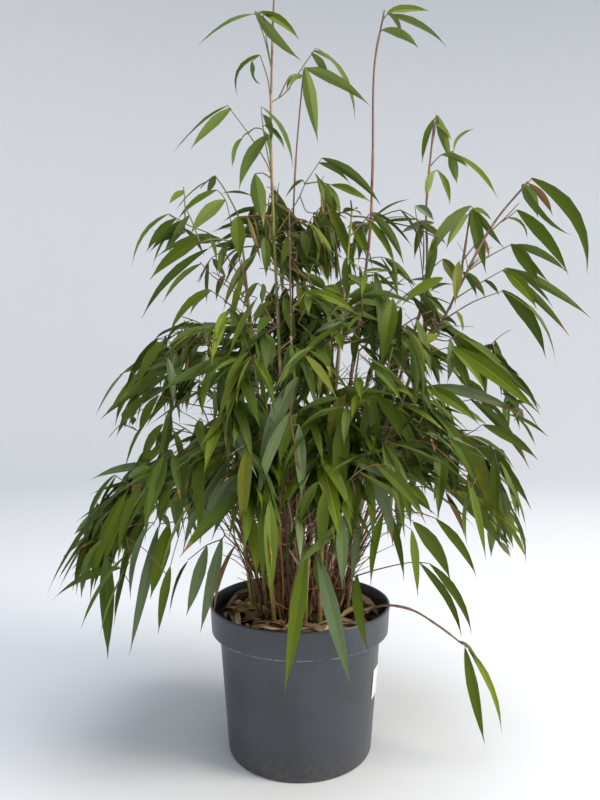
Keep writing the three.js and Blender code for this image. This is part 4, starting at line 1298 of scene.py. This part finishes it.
def makeLitter():
    look, radius, draw = litter, compostLook["radius"], randomFor(78)
    toneNames.extend(["strawSheath", "bleachedSheath", "brownSheath"])  # sheaths lie among the leaves
    bundle = bmesh.new()
    for _ in range(look["count"]):
        angle, distance = draw.uniform(0, math.tau), (radius - look["fromRim"]) * draw.random() ** 0.4 * mm
        place = Vector((distance * math.cos(angle), distance * math.sin(angle), 0))
        turn = draw.uniform(0, math.tau)
        length = draw.uniform(*look["length"]) * mm
        way = Vector((math.cos(turn), math.sin(turn), 0)) * length
        ends = [end for end in (place + way, place - way) if end.length <= (radius - look["tipFromRim"]) * mm]
        if not ends:
            continue
        end = ends[0]
        place.z = compostHeight(place.x, place.y) + draw.uniform(*look["footRise"]) * mm
        end.z = compostHeight(end.x, end.y) + draw.uniform(*look["tipRise"]) * mm
        tone = draw.choice(look["tones"])
        facing = Vector((draw.gauss(0, look["sway"]), draw.gauss(0, look["sway"]), 1)).normalized()
        bow, width = draw.uniform(*look["bow"]), draw.uniform(*look["width"])
        fold = draw.uniform(*look["fold"])
        addBowedLeaf(bundle, place, end, bow, width, facing, tone, draw, fold=fold)
    for _ in range(stems["sheaths"]):
        start, along, side = pickOnStem(draw, 0)
        end = start + (along + side * draw.uniform(0.1, 0.7)) * (draw.uniform(*stems["sheathLength"]) * mm)
        tone = draw.choice(look["stemTones"])
        bow, width = draw.uniform(*stems["sheathBow"]), draw.uniform(*stems["sheathWidth"])
        fold = draw.uniform(*stems["sheathFold"])
        addBowedLeaf(bundle, start, end, bow, width, side, tone, draw, fold=fold)
    makePiece("dry_litter", bundle, toneNames)


makeCompost()
makeLitter()


# The studio: a pale round bowl, soft daylight from the right, and the camera at the photograph's place.
# Metres, watts, and for each lamp its place, its target, its width, its power and its tone.
studio = {"floorRadius": 2.2, "bowlRadius": 3.6, "wallHeight": 3.2, "tone": "e3e6e9", "air": "dee7f6",
          "airStrength": 0.42}
lamps = {
    "keyLight": ((2.3, -0.8, 1.9), (0, 0, 0.4), 1.3, 74, "fff4e4"),
    "skyLight": ((0.3, -0.5, 2.9), (0, 0, 0.3), 2.4, 56, "f4f5fa"),
}


def makeStudio():
    floorRadius, bowlRadius = studio["floorRadius"] / mm, studio["bowlRadius"] / mm
    bend = bowlRadius - floorRadius
    rounded = [math.radians(angle) for angle in range(9, 91, 9)]
    outline = [(0, 0), (floorRadius, 0),
               *[(floorRadius + bend * math.sin(angle), bend * (1 - math.cos(angle))) for angle in rounded],
               (bowlRadius, studio["wallHeight"] / mm)]
    shape = turned(outline, 96)
    bmesh.ops.reverse_faces(shape, faces=shape.faces[:])
    mesh = bpy.data.meshes.new("studio_bowl")
    shape.to_mesh(mesh)
    shape.free()
    mesh.shade_smooth()
    bowl = bpy.data.objects.new("studio_bowl", mesh)
    scene.collection.objects.link(bowl)
    mesh.materials.append(newMaterial("backdropPaper", studio["tone"], 0.9))


def addLight(name, place, target, size, power, hexCode):
    light = bpy.data.lights.new(name, "AREA")
    light.shape = "DISK"
    light.size = size
    light.energy = power
    light.color = colour(hexCode)[:3]
    lamp = bpy.data.objects.new(name, light)
    lamp.location = place
    lamp.rotation_mode = "QUATERNION"
    lamp.rotation_quaternion = (Vector(target) - Vector(place)).to_track_quat("-Z", "Y")
    scene.collection.objects.link(lamp)


def makeAir():
    world = bpy.data.worlds.new("studioAir")
    world.use_nodes = True
    air = world.node_tree.nodes["Background"]
    air.inputs["Color"].default_value = colour(studio["air"])
    air.inputs["Strength"].default_value = studio["airStrength"]
    scene.world = world


def makeCamera():
    lens = bpy.data.cameras.new("photoCamera")
    lens.sensor_width = 36
    lens.lens = photo["focal"] / photo["longSide"] * lens.sensor_width
    camera = bpy.data.objects.new("photoCamera", lens)
    camera.location = photo["eye"]
    camera.rotation_euler = (math.radians(90 + photo["pitch"]), 0, 0)
    lens.clip_start = 0.01
    scene.collection.objects.link(camera)
    scene.camera = camera


makeStudio()
for name, look in lamps.items():
    addLight(name, *look)
makeAir()
scene.view_settings.view_transform = "Standard"
makeCamera()
